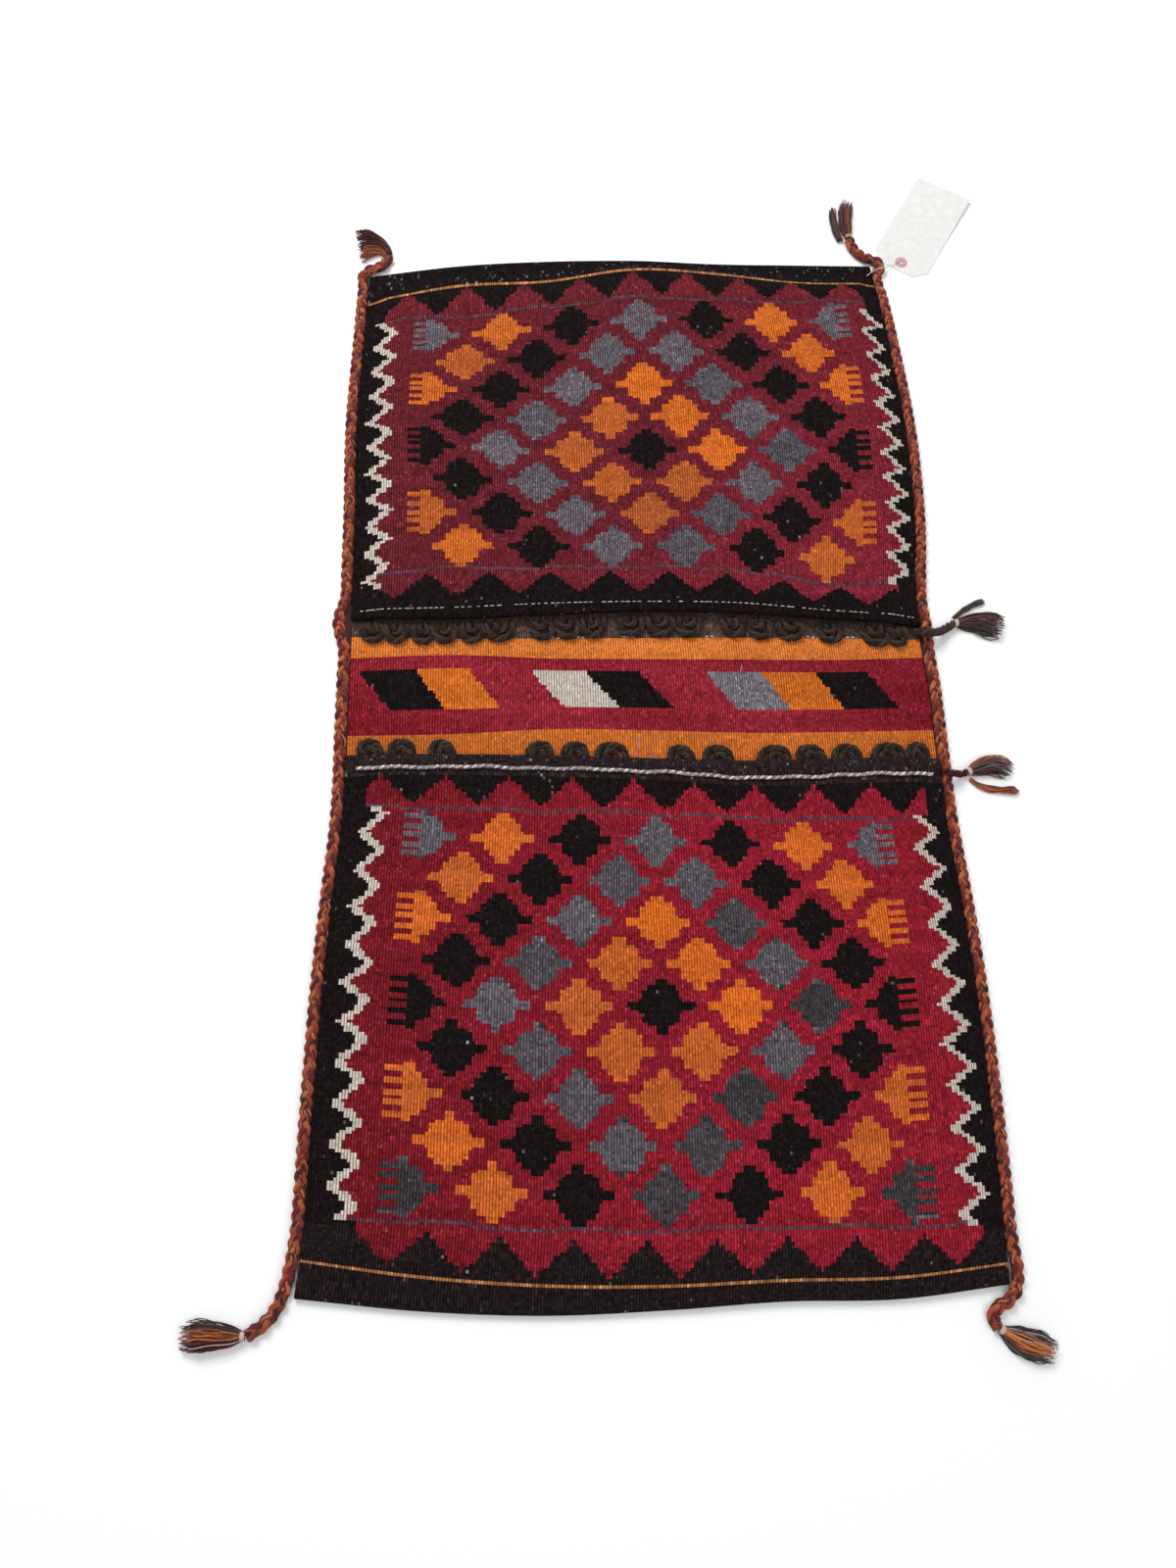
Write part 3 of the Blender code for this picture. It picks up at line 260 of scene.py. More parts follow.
LOOP_OUTLINE = ((-1.0, 0.0), (-1.0, 0.45), (-0.68, 0.86), (0.0, 1.0), (0.68, 0.86), (1.0, 0.45), (1.0, 0.0))
SEAT_GAP = 0.0003

# Cord on the lower lip, stitches along the upper hem and brown band, and mends on the bridge
LAID_CORD = 0.0034
LAID_CORD_HEIGHT = -0.0550
LAID_CORD_COLOURS = ((0.54, 0.49, 0.46), (0.24, 0.20, 0.19))
STITCH_LINE = 0.0088
STITCH_REACH = 0.262
STITCH_SHARE = 0.85
STITCH_LENGTHS = (0.0020, 0.0042)
STITCH_ADVANCE = (0.0042, 0.0068)
STITCH_COLOUR = (0.62, 0.54, 0.50)
STITCH_RADIUS = 0.00045
BAND_STITCHES = ((-0.100, -0.052), (-0.024, -0.016), (0.056, 0.064), (0.150, 0.200))
BAND_STITCH_LENGTHS = (0.0018, 0.0035)
BAND_STITCH_ADVANCE = (0.0035, 0.0060)
BAND_STITCH_WANDER = 0.001
BAND_STITCH_RADIUS = 0.0006
BAND_STITCH_COLOUR = (0.62, 0.54, 0.51)
MENDS = (
    ((-0.012, -0.018), (-0.017, -0.036)),
    ((-0.005, -0.030), (0.003, -0.036)),
    ((0.088, 0.050), (0.085, 0.041)),
)
MEND_COLOUR = (0.34, 0.22, 0.30)

# Tassels: colour of the tie, and stations as x, y and half width
TIE_WIRE = 0.0010
TIE_RADIUS = 0.0038
NECK_LENGTH = 0.0036
TIE_TURNS = 5
TIE_LENGTH = 0.0034
TIE_THREAD = 0.00042
TIE_BITE = 0.0006
HANK_YARNS = 14
HANK_YARNS_PER_METRE = 5200
HANK_THICKNESS = 0.75
HANK_FULLNESS = 0.92
HANK_YARN_RADII = (0.00042, 0.00062)
HANK_SWAY = 0.0014
HANK_LIFT = 0.0006
TASSELS = {
    "top_left": (None, ((-0.243, 0.4985, 0.0042), (-0.2475, 0.505, 0.0065), (-0.256, 0.509, 0.01),
                        (-0.2655, 0.51, 0.013), (-0.275, 0.5085, 0.013))),
    "top_right": ("tan", ((0.2246, 0.5301, 0), (0.2235, 0.54, 0.0055), (0.223, 0.551, 0.0072),
                          (0.224, 0.566, 0.008), (0.2275, 0.581, 0.0055))),
    "top_right_strand": (None, ((0.2164, 0.529, 0.0036), (0.213, 0.54, 0.004), (0.2115, 0.551, 0.0036),
                                (0.211, 0.562, 0.0034), (0.2118, 0.572, 0.0024))),
    "upper_mouth": ("ivory", ((0.288, 0.0952, 0), (0.2975, 0.0965, 0.007), (0.309, 0.0965, 0.011),
                              (0.322, 0.0945, 0.0145), (0.334, 0.091, 0.0125))),
    "upper_mouth_wisp": (None, ((0.289, 0.1018, 0.0018), (0.299, 0.11, 0.0022), (0.3095, 0.116, 0.0026),
                                (0.3205, 0.12, 0.0016))),
    "lower_mouth": ("ivory", ((0.2841, -0.051, 0), (0.2935, -0.047, 0.007), (0.304, -0.044, 0.0095),
                              (0.3155, -0.045, 0.0105), (0.3255, -0.05, 0.007))),
    "lower_mouth_strand": (None, ((0.2865, -0.0567, 0.002), (0.2935, -0.0625, 0.0028),
                                  (0.302, -0.066, 0.0036), (0.312, -0.0675, 0.004),
                                  (0.323, -0.0678, 0.0038), (0.331, -0.0675, 0.0024))),
    "bottom_left": ("ivory", ((-0.3223, -0.5043, 0), (-0.332, -0.5045, 0.008), (-0.345, -0.504, 0.0115),
                              (-0.358, -0.504, 0.013), (-0.3715, -0.505, 0.0095))),
    "bottom_right": ("ivory", ((0.259, -0.511, 0), (0.267, -0.516, 0.008), (0.2765, -0.5205, 0.012),
                               (0.289, -0.525, 0.0125), (0.3025, -0.53, 0.0085))),
}

# Cords at the mouths, as x, y and share of the height over the braid
MOUTH_CORD = 0.0062
MOUTH_CORD_FULLNESS = {"upper": 1.3, "lower": 1.1}
UPPER_MOUTH_CORD = ((0.2489, 0.084, 0.35), (0.2514, 0.0833, 0.44), (0.2549, 0.0822, 0.82),
                    (0.2594, 0.0815, 0.92), (0.2664, 0.0825, 0.8), (0.2734, 0.0858, 0.35),
                    (0.2804, 0.0905, 0.06), (0.2868, 0.0945, 0.0))
LOWER_MOUTH_CORD = ((0.2607, -0.053, 1.05), (0.266, -0.054, 0.9), (0.2725, -0.0535, 0.52),
                    (0.2775, -0.0525, 0.08), (0.283, -0.0512, 0.0))

# Tag, eyelet and string
TAG_THICKNESS = 0.0004
EYELET_PLACE = (0.2779, 0.5054)
EYELET_OUTER = 0.0062
EYELET_INNER = 0.0018
STRING_DIAMETER = 0.0008
STRING_COLOUR = (0.62, 0.56, 0.50)
STRING_ROUTE = ((0.238, 0.48, 0.95), (0.243, 0.4845, 0.95), (0.248, 0.4875, 0.98), (0.254, 0.4905, 0.94),
                (0.26, 0.4945, 0.5), (0.2655, 0.499, 0.2), (0.271, 0.503, 0.18), (0.2761, 0.5053, 0.17),
                (0.2782, 0.5054, 0.06))

# Yarns of the tassels, cords and ties, and the order of colours across each tassel
HAIR = {
    "maroon": ((0.085, 0.013, 0.014), (0.055, 0.010, 0.011), (0.130, 0.022, 0.018), (0.036, 0.012, 0.012)),
    "rust": ((0.300, 0.070, 0.020), (0.420, 0.115, 0.026), (0.180, 0.036, 0.016)),
    "orange": ((0.520, 0.150, 0.026), (0.600, 0.200, 0.040), (0.400, 0.095, 0.020)),
    "brown": ((0.040, 0.026, 0.020), (0.058, 0.037, 0.029), (0.024, 0.015, 0.012), (0.070, 0.016, 0.018)),
    "grey": ((0.065, 0.058, 0.062), (0.035, 0.030, 0.033), (0.120, 0.105, 0.108), (0.018, 0.014, 0.016)),
    "ivory": ((0.560, 0.450, 0.410), (0.440, 0.330, 0.300)),
    "tan": ((0.480, 0.240, 0.090), (0.400, 0.180, 0.060)),
}
STREAKS = {
    "top_left": ("rust", "maroon", "maroon", "maroon"),
    "top_right": ("brown", "maroon", "rust", "maroon"),
    "top_right_strand": ("brown", "maroon"),
    "upper_mouth": ("maroon", "brown", "maroon", "brown", "brown"),
    "upper_mouth_wisp": ("brown",),
    "lower_mouth": ("rust", "grey", "maroon", "grey", "maroon"),
    "lower_mouth_strand": ("maroon", "rust", "rust"),
    "bottom_left": ("maroon", "maroon", "orange", "rust", "brown"),
    "bottom_right": ("grey", "grey", "orange", "orange", "rust", "grey"),
}

# Tassels that fan out wider than their solids, and the number of white yarns in each
FAN = {"top_left": 1.6}
WHITE_YARNS = {"top_left": 3, "upper_mouth": 2, "lower_mouth": 4, "bottom_left": 3, "bottom_right": 5}

# Camera angles in radians, its place and lens, and lamps as name, place, size and power
CAMERA_ELEVATION = 1.23133373
CAMERA_ROLL = -0.16363653
CAMERA_HEADING = 0.17300974
CAMERA_PLACE = Vector((-0.12269, -0.45485, 1.13332))
CAMERA_LENS = 31.5
LAMPS = (("key", (-0.9, 1.3, 1.9), 1.1, 40.0), ("fill", (0.9, -1.2, 2.1), 1.8, 14.0))


def smooth_through(knots, values, x):
    """Cubic curve through given points, level with its neighbours at each of them."""
    knots = np.asarray(knots, float)
    values = np.asarray(values, float)
    x = np.clip(np.asarray(x, float), knots[0], knots[-1])
    slopes = np.gradient(values, knots)
    i = np.clip(np.searchsorted(knots, x, side="right") - 1, 0, len(knots) - 2)
    h = knots[i + 1] - knots[i]
    t = (x - knots[i]) / h
    rise = 3 * t**2 - 2 * t**3
    start = (t**3 - 2 * t**2 + t) * h * slopes[i]
    end = (t**3 - t**2) * h * slopes[i + 1]
    return values[i] * (1 - rise) + values[i + 1] * rise + start + end


def distance_along(points):
    steps = np.linalg.norm(np.diff(points, axis=0), axis=1)
    return np.concatenate(([0.0], np.cumsum(steps)))


def smooth_route(points, spacing):
    points = np.asarray(points, float)
    along = distance_along(points)
    count = max(int(round(along[-1] / spacing)), 2)
    places = np.linspace(0.0, along[-1], count + 1)
    return np.stack([smooth_through(along, points[:, k], places) for k in range(points.shape[1])], axis=1)


def unit(vectors):
    return vectors / np.maximum(np.linalg.norm(vectors, axis=1, keepdims=True), 1e-9)


def side_at(side, y):
    points = LEFT_SIDE if side < 0 else RIGHT_SIDE
    return smooth_through([p[0] for p in points], [p[1] for p in points], y)


def line_height(b, a):
    a, b = np.broadcast_arrays(np.asarray(a, float), np.asarray(b, float))
    knots = np.array([level[0] for level in LEVELS])
    table = np.stack([smooth_through(STATIONS, level[1], a) for level in LEVELS])
    i = np.clip(np.searchsorted(knots, b, side="right") - 1, 0, len(knots) - 2)
    t = (b - knots[i]) / (knots[i + 1] - knots[i])
    low = np.take_along_axis(table, i[None], 0)[0]
    high = np.take_along_axis(table, i[None] + 1, 0)[0]
    return low * (1 - t) + high * t


def on_bag(a, b):
    y = line_height(b, a)
    left, right = side_at(-1, y), side_at(1, y)
    q = a / HALF_WIDTH
    return left + (right - left) * (q + 1) / 2 + WEFT_BOW * (1 - q * q), y


def ease(t):
    t = np.clip(t, 0.0, 1.0)
    return t * t * (3 - 2 * t)


def lip_reach(side):
    return (LOWER_LIP if side < 0 else UPPER_LIP) + HEM_RADIUS + CLOTH / 2


def pouch_gap(a, reach, side):
    """Clear height inside a pouch, softly rounded towards its sides and its fold."""
    from_side = ease((HALF_WIDTH - abs(a)) / (SIDE_SLOPE * SLOPE_SPREAD))
    from_fold = ease((FOLD_REACH - reach) / (FOLD_SLOPE * SLOPE_SPREAD))
    near_mouth = np.clip(1.0 - (reach - lip_reach(side) - HEM_DEPTH) / SIDE_SLOPE, 0.0, 1.0)
    edge = FOLD_GAP + (CLOTH + 2 * HEM_GAP - FOLD_GAP) * near_mouth
    return edge + (POUCH_GAP - edge) * np.minimum(from_side, from_fold)


def slack(a, b):
    """Soft lie of the cloth: long shallow waves that die out at the sides."""
    fade = ease((HALF_WIDTH - abs(a)) / SLACK_MARGIN)
    long_wave = 0.9 * np.sin(31 * a + 17 * b + 0.6) * np.sin(23 * b - 9 * a)
    return SLACK * (long_wave + 0.6 * np.sin(52 * a - 34 * b + 2.1)) * fade


def run_lengths(side):
    """Places along the strip where the back, the fold, the front, the hem's fold and the hem end."""
    front = FOLD_REACH - lip_reach(side)
    lengths = [FOLD_REACH, math.pi * FOLD_RADIUS, front, math.pi * HEM_RADIUS, HEM_DEPTH]
    return np.cumsum(lengths)


def strip_points(a, s, h):
    """Points of the folded strip: a across, s along, h off its middle towards its outer side."""
    side = np.where(s < 0, -1, 1)
    reach = np.zeros_like(a)
    z = np.zeros_like(a)
    middle = CLOTH / 2
    for sign in (-1, 1):
        mine = side == sign
        back, fold, front, hem_fold, _ = run_lengths(sign)
        lip = lip_reach(sign)
        across, run = a[mine], abs(s[mine])
        place = run.copy()
        height = np.full_like(run, middle - h)

        k = (run > back) & (run <= fold)
        angle = (run[k] - back) / FOLD_RADIUS
        place[k] = FOLD_REACH + (FOLD_RADIUS + h) * np.sin(angle)
        height[k] = middle + FOLD_RADIUS - (FOLD_RADIUS + h) * np.cos(angle)

        k = (run > fold) & (run <= front)
        place[k] = FOLD_REACH - (run[k] - fold)
        from_lip = place[k] - lip
        lift = slack(across[k], sign * place[k])
        lift = lift * ease((FOLD_REACH - place[k]) / SLACK_MARGIN) * ease(from_lip / SLACK_FROM_LIP)
        turned = np.sin(np.pi * np.clip(from_lip / HEM_DEPTH, 0, 1)) ** 0.8
        roll = LIP_ROLL * np.where(from_lip < HEM_DEPTH, turned, 0.0)
        dip = HEM_DIP * np.exp(-((from_lip - HEM_DEPTH) / HEM_DIP_WIDTH) ** 2)
        shape = (roll - dip) * ease((HALF_WIDTH - abs(across[k])) / ROLL_MARGIN)
        height[k] = middle + CLOTH + pouch_gap(across[k], place[k], sign) + h + lift + shape

        k = (run > front) & (run <= hem_fold)
        angle = (run[k] - front) / HEM_RADIUS
        base = middle + CLOTH + pouch_gap(across[k], np.full(k.sum(), lip), sign) - HEM_RADIUS
        place[k] = lip - (HEM_RADIUS + h) * np.sin(angle)
        height[k] = base + (HEM_RADIUS + h) * np.cos(angle)

        k = run > hem_fold
        place[k] = lip + (run[k] - hem_fold)
        height[k] = middle + CLOTH + pouch_gap(across[k], place[k], sign) - 2 * HEM_RADIUS - h
        reach[mine] = place
        z[mine] = height
    x, y = on_bag(a, side * reach)
    return np.stack([x, y, z], axis=-1)


def front_s(b):
    """Place along the strip of a chart height on a pouch front."""
    side = -1 if b < 0 else 1
    return side * (run_lengths(side)[1] + FOLD_REACH - abs(b))


def chart_heights(s):
    """Chart height shown at places along the strip."""
    b = np.zeros_like(s)
    for side in (-1, 1):
        mine = (s < 0) if side < 0 else (s >= 0)
        back, fold, front, _, _ = run_lengths(side)
        run = abs(s[mine])
        reach = np.where(run <= fold, FOLD_CHART, FOLD_REACH - (run - fold))
        reach = np.where(run <= back, run, reach)
        b[mine] = side * np.where(run > front, lip_reach(side), reach)
    return b


def quantised(x, step):
    return (np.floor(x / step) + 0.5) * step


def scatter(*keys):
    """Repeatable random number in -1..1 for each set of whole numbers."""
    total = np.zeros(np.broadcast(*keys).shape)
    for weight, key in zip((12.9898, 78.233, 37.719, 4.581), keys):
        total = total + weight * key
    return 2 * ((np.sin(total) * 43758.5453) % 1.0) - 1


def zigzag_codes(pouch, a, b, codes):
    """Black edge and ivory zigzag beside the field, with teeth evenly spaced along the bag."""
    y = line_height(quantised(b, STEP), a)
    reach = abs(a)
    for side in (-1, 1):
        spec = ZIGZAGS[(pouch, side)]
        turns = ((spec["tip"] - y) / spec["pitch"]) % 1.0
        skew = spec["skew"]
        across = np.where(turns < skew, turns / skew, (1 - turns) / (1 - skew))
        edge = spec["outer"] - (spec["outer"] - spec["inner"] - ZIGZAG_WIDTH) * across
        edge = edge + ZIGZAG_JITTER * scatter(np.floor(b / STEP), side)
        mine = np.sign(a) == side
        inside = (y > spec["end"]) & (y < spec["top"])
        codes[mine & inside & (reach > edge)] = CODE["black"]
        codes[mine & inside & (reach <= edge) & (reach > edge - ZIGZAG_WIDTH)] = CODE["ivory"]
        corner = np.where(y < spec["end"], spec["corner"], CORNER_EDGE)
        codes[mine & ~inside & (reach > corner)] = CODE["black"]


def border_codes(border, a, b, codes):
    """Stepped teeth between the field and an end of the pouch."""
    low, high = sorted((abs(border["base"]), abs(border["tip"])))
    mine = (abs(b) > low) & (abs(b) < high)
    pitch = border["pitch"]
    turns = abs(((a - border["phase"]) / pitch + 0.5) % 1.0 - 0.5) * 2
    depth = quantised((b - border["base"]) / (border["tip"] - border["base"]), 1 / TOOTH_STEPS)
    turns = turns + 0.02 * scatter(np.floor(depth * TOOTH_STEPS), np.floor(a / pitch * 2))
    codes[mine & (depth > 1 - turns)] = CODE["black"]


def field_codes(pouch, a, b, codes):
    """Stepped crosses, with comb-ended half motifs at both sides."""
    centre, pitch, rows = FIELDS[pouch]
    colour = np.array([CODE["black"], CODE["orange"], CODE["grey"]])
    for r in range(rows[0], rows[1] + 1):
        v = b - (centre[1] - r * ROW_PITCH)
        offset = 0.5 * (r % 2)
        column = np.clip(np.round((a - centre[0]) / pitch - offset) + offset, -3 + offset, 3 - offset)
        u = a - centre[0] - column * pitch
        size = abs(v) + MOTIF_HEIGHT_JITTER * scatter(column * 2, r, np.sign(v))
        width = np.zeros_like(a)
        for k, (limit, reach) in reversed(list(enumerate(MOTIF_STEPS))):
            jitter = MOTIF_WIDTH_JITTER * scatter(column * 2 + k, r * 3 + np.sign(u), np.sign(v))
            width = np.where(size < limit, reach * pitch / LOWER_PITCH + jitter, width)
        inward = np.where(column > 0, -u, u)
        comb = (abs(column) == 3) & (inward < -COMB_BACK)
        tooth = abs((v / COMB_PITCH + 0.5) % 1.0 - 0.5) < COMB_TOOTH
        tooth = tooth & (abs(v) < COMB_HALF_HEIGHT) & (inward > -COMB_REACH[pouch])
        shown = np.where(comb, tooth, abs(u) < width)
        kind = np.round(abs(column) + abs(r) / 2).astype(int) % 3
        codes[shown] = colour[kind][shown]


def pouch_codes(pouch, a, b):
    """Yarn of each woven cell of a pouch front."""
    codes = np.full(a.shape, CODE["madder"])
    near, far = BORDERS[pouch]
    field_codes(pouch, a, b, codes)
    codes[(abs(b) > abs(far["base"])) | (abs(b) < abs(near["base"]))] = CODE["madder"]
    for border in (near, far):
        border_codes(border, a, b, codes)
    for border in (near, far):
        wander = LINE_WANDER * np.sin(a * 60 + border["line"] * 90)
        drawn = abs(b - border["line"] - wander) < WEFT / 2
        codes[drawn & (codes == CODE["madder"])] = CODE["line"]
    zigzag_codes(pouch, a, b, codes)
    codes[(abs(b) > abs(far["tip"])) | (abs(b) < abs(near["tip"]))] = CODE["black"]
    for line in TAN_LINES:
        codes[abs(b - line) < WEFT / 2] = CODE["tan"]
    return codes


def bridge_codes(a, b):
    """Yarn of each woven cell of the bridge and of the underside."""
    codes = np.full(a.shape, CODE["madder"])
    codes[(b > BRIDGE_BOTTOM) & (b < STRIPE_LOWER_TOP)] = CODE["orange"]
    codes[(b > STRIPE_UPPER_BOTTOM) & (b < BROWN_BOTTOM)] = CODE["orange"]
    codes[(b >= BROWN_BOTTOM) & (b < BRIDGE_TOP)] = CODE["brown"]
    stepped = quantised(b, STEP)
    fall = (SLANT_TOP - stepped) / (SLANT_TOP - SLANT_BOTTOM)
    inside = (b > SLANT_BOTTOM) & (b < SLANT_TOP)
    for start, width, slant, names in SLANT_GROUPS:
        jitter = SLANT_JITTER * scatter(np.floor(b / STEP), start * 100 + 0 * b)
        place = (a - start - slant * fall + jitter) / width
        for k, name in enumerate(names):
            codes[inside & (place > k) & (place < k + 1)] = CODE[name]
    codes[abs(b) > HALF_LENGTH - FOLD_SLOPE] = CODE["black"]
    return codes


def mixed(low, high, t):
    return np.asarray(low)[None] * (1 - t[:, None]) + np.asarray(high)[None] * t[:, None]


def dye_lots(pouch, a, b):
    """One number for each motif of the field, as if its yarn came from its own dye lot."""
    centre, pitch, _ = FIELDS[pouch]
    row = np.round((centre[1] - b) / ROW_PITCH)
    column = np.round((a - centre[0]) / pitch - 0.5 * (row % 2))
    return 0.5 + 0.5 * scatter(column, row)


def madder_yarn(part, a, b, patch, lot, grain, fleck):
    """Madder that deepens across each pouch and from weft to weft, with pale flecks."""
    t = patch
    if part == "upper":
        t = ease(0.22 + 2.0 * a + 1.2 * (0.25 - b)) * 0.85 + 0.15 * patch
    elif part == "lower":
        t = 0.8 * ease((a + 0.27) / 0.36) + 0.2 * patch
    madder = mixed(*MADDER[part], t) * (0.88 + 0.24 * lot)[:, None] * np.exp(0.23 * grain)[:, None]
    pale = fleck < PALE_MADDER_SHARE
    madder[pale] = madder[pale] * 1.15 + np.array(PALE_MADDER)
    return madder


def orange_yarn(part, a, b, patch, lot, grain):
    """Orange that differs from motif to motif and between the stripes of the bridge."""
    if part == "bridge":
        slant = ((b > SLANT_BOTTOM) & (b < SLANT_TOP))[:, None]
        stripes = np.where(b[:, None] > 0, UPPER_STRIPE_ORANGE, LOWER_STRIPE_ORANGE)
        orange = np.where(slant, SLANT_ORANGE, stripes)
    else:
        orange = mixed(*ORANGE[part], dye_lots(part, a, b))
    return orange * (0.84 + 0.18 * lot + 0.14 * patch)[:, None] * np.exp(0.16 * grain)[:, None]


def grey_yarn(part, a, b, grain):
    grey = np.array([SLANT_GREY]) if part == "bridge" else mixed(*GREY[part], dye_lots(part, a, b))
    return grey * np.exp(0.27 * grain)[:, None]


def black_yarn(part, b, grain, fleck):
    """Black with a brown cast, lighter in worn bands and salted with pale flecks."""
    light = np.ones(len(b))
    salt = np.full(len(b), PALE_BLACK_SHARE)
    for low, high, brightness, share in BLACK_BANDS[part]:
        band = (b > low) & (b < high)
        light[band] = brightness
        salt[band] = share
    black = np.array(BLACK) * (np.exp(0.35 * grain) * light)[:, None]
    pale = fleck < salt
    black[pale] = np.array(PALE_BLACK) * np.exp(0.6 * grain[pale])[:, None]
    return black


def yarn_colours(part, codes, a, b):
    """Linear colour of each woven cell: yarn, dye lot, mottling and flecks."""
    fleck = RNG.random(len(codes))
    grain = RNG.normal(0, 1, len(codes))
    weft = np.floor(b / WEFT)
    lot = 0.5 + 0.5 * np.sin(weft * 0.61) * np.sin(weft * 0.137 + 1.0)
    patch = 0.5 + 0.5 * np.sin(17 * a + 3 * np.sin(12 * b)) * np.sin(21 * b + 2 * np.sin(9 * a))
    colours = {
        "madder": madder_yarn(part, a, b, patch, lot, grain, fleck),
        "orange": orange_yarn(part, a, b, patch, lot, grain),
        "grey": grey_yarn(part, a, b, grain),
        "black": black_yarn(part, b, grain, fleck),
    }
    for name, colour, mottle in SINGLE_YARNS:
        colours[name] = np.array(colour) * np.exp(mottle * grain)[:, None]
    out = np.zeros((len(codes), 3))
    for name, colour in colours.items():
        mine = codes == CODE[name]
        out[mine] = colour[mine]
    return np.clip(out, 0.001, 0.95)


def node_tree(name):
    material = bpy.data.materials.new(name)
    material.use_nodes = True
    tree = material.node_tree
    return material, tree.nodes, tree.links, tree.nodes["Principled BSDF"]


def math_node(nodes, links, operation, first, second=None):
    node = nodes.new("ShaderNodeMath")
    node.operation = operation
    for k, value in enumerate((first, second)):
        if value is None:
            continue
        if isinstance(value, (int, float)):
            node.inputs[k].default_value = value
        else:
            links.new(value, node.inputs[k])
    return node.outputs[0]


def linked(name, data):
    item = bpy.data.objects.new(name, data)
    bpy.context.scene.collection.objects.link(item)
    return item


def matt(shader, roughness, sheen):
    shader.inputs["Roughness"].default_value = roughness
    shader.inputs["Metallic"].default_value = 0.0
    shader.inputs["Specular IOR Level"].default_value = 0.05
    shader.inputs["Sheen Weight"].default_value = sheen
    shader.inputs["Sheen Roughness"].default_value = 0.5


def noise(nodes, links, scale, detail):
    node = nodes.new("ShaderNodeTexNoise")
    node.inputs["Scale"].default_value = scale
    node.inputs["Detail"].default_value = detail
    place = nodes.new("ShaderNodeTexCoord")
    links.new(place.outputs["Object"], node.inputs["Vector"])
    return node.outputs["Fac"]


def relief(nodes, links, shader, height, strength, distance):
    bump = nodes.new("ShaderNodeBump")
    bump.inputs["Strength"].default_value = strength
    bump.inputs["Distance"].default_value = distance
    links.new(height, bump.inputs["Height"])
    links.new(bump.outputs[0], shader.inputs["Normal"])


def weave_coordinates(nodes, links):
    uv = nodes.new("ShaderNodeUVMap")
    uv.uv_map = "weave"
    split = nodes.new("ShaderNodeSeparateXYZ")
    links.new(uv.outputs[0], split.inputs[0])
    return split.outputs[0], split.outputs[1]


def yarn_with_painted_shade(nodes, links, shader, height, shades):
    """Yarn colour from its attribute with painted shade: darker where the surface is low, lighter on the
    crowns.
    """
    yarn = nodes.new("ShaderNodeVertexColor")
    yarn.layer_name = "yarn"
    # The relief height scales the yarn colour down in the hollows and up on the crowns: painted shade and
    # painted light
    shade = nodes.new("ShaderNodeMapRange")
    for name, value in zip(("From Min", "From Max", "To Min", "To Max"), shades):
        shade.inputs[name].default_value = value
    links.new(height, shade.inputs["Value"])
    painted_shade_colour = nodes.new("ShaderNodeVectorMath")
    painted_shade_colour.operation = "SCALE"
    links.new(yarn.outputs["Color"], painted_shade_colour.inputs[0])
    links.new(shade.outputs[0], painted_shade_colour.inputs["Scale"])
    links.new(painted_shade_colour.outputs[0], shader.inputs["Base Color"])


def weave_material():
    """Weft-faced weave: ribs over the warps, beaded by the wefts, with loose fibres, and painted shade in
    the hollows between them.
    """
    material, nodes, links, shader = node_tree("kilim_weave")
    matt(shader, 0.9, 0.0)
    step = partial(math_node, nodes, links)
    ribs, wefts = weave_coordinates(nodes, links)
    rib = step("ABSOLUTE", step("SINE", step("MULTIPLY", ribs, math.pi)))
    shift = step("MULTIPLY", step("FLOOR", ribs), 0.5)
    turns = step("ADD", step("MULTIPLY", wefts, 2.0), shift)
    bead = step("ABSOLUTE", step("SINE", step("MULTIPLY", turns, math.pi)))
    beaded = step("ADD", step("MULTIPLY", step("POWER", bead, 0.6), 0.45), 0.55)
    height = step("MULTIPLY", step("POWER", rib, 0.75), beaded)
    rough = step("MULTIPLY", step("SUBTRACT", noise(nodes, links, 2600.0, 3.0), 0.5), 0.5)
    total = step("ADD", height, rough)
    relief(nodes, links, shader, total, 1.0, 0.0008)
    # Painted shade between the ribs and beads, painted light on their crowns
    yarn_with_painted_shade(nodes, links, shader, total, (0.15, 1.0, 0.36, 1.36))
    return material


def yarn_material(name, twist, roughness, sheen, distance):
    """Spun yarn coloured by attribute: slanting plies along its length, with fine fibres, and painted shade
    between the plies.
    """
    material, nodes, links, shader = node_tree(name)
    matt(shader, roughness, sheen)
    step = partial(math_node, nodes, links)
    along, around = weave_coordinates(nodes, links)
    turns = step("ADD", step("MULTIPLY", along, twist[0]), step("MULTIPLY", around, twist[1]))
    plies = step("ABSOLUTE", step("SINE", step("MULTIPLY", turns, math.pi)))
    total = step("ADD", plies, step("MULTIPLY", noise(nodes, links, 3200.0, 3.0), 0.9))
    relief(nodes, links, shader, total, 0.8, distance)
    # Painted shade between the plies, painted light on their crowns
    yarn_with_painted_shade(nodes, links, shader, total, (0.2, 1.7, 0.65, 1.35))
    return material


def mesh_object(name, verts, faces, corner_uv, corner_colour, material):
    """Object from plain arrays, with its weave coordinates and yarn colours on the corners."""
    mesh = bpy.data.meshes.new(name)
    mesh.from_pydata(verts.tolist(), [], faces)
    layer = mesh.uv_layers.new(name="weave")
    layer.data.foreach_set("uv", np.asarray(corner_uv, np.float32).ravel())
    attribute = mesh.color_attributes.new("yarn", "FLOAT_COLOR", "CORNER")
    rgba = np.ones((len(corner_colour), 4), np.float32)
    rgba[:, :3] = corner_colour
    attribute.data.foreach_set("color", rgba.ravel())
    mesh.materials.append(material)
    mesh.shade_smooth()
    return linked(name, mesh)


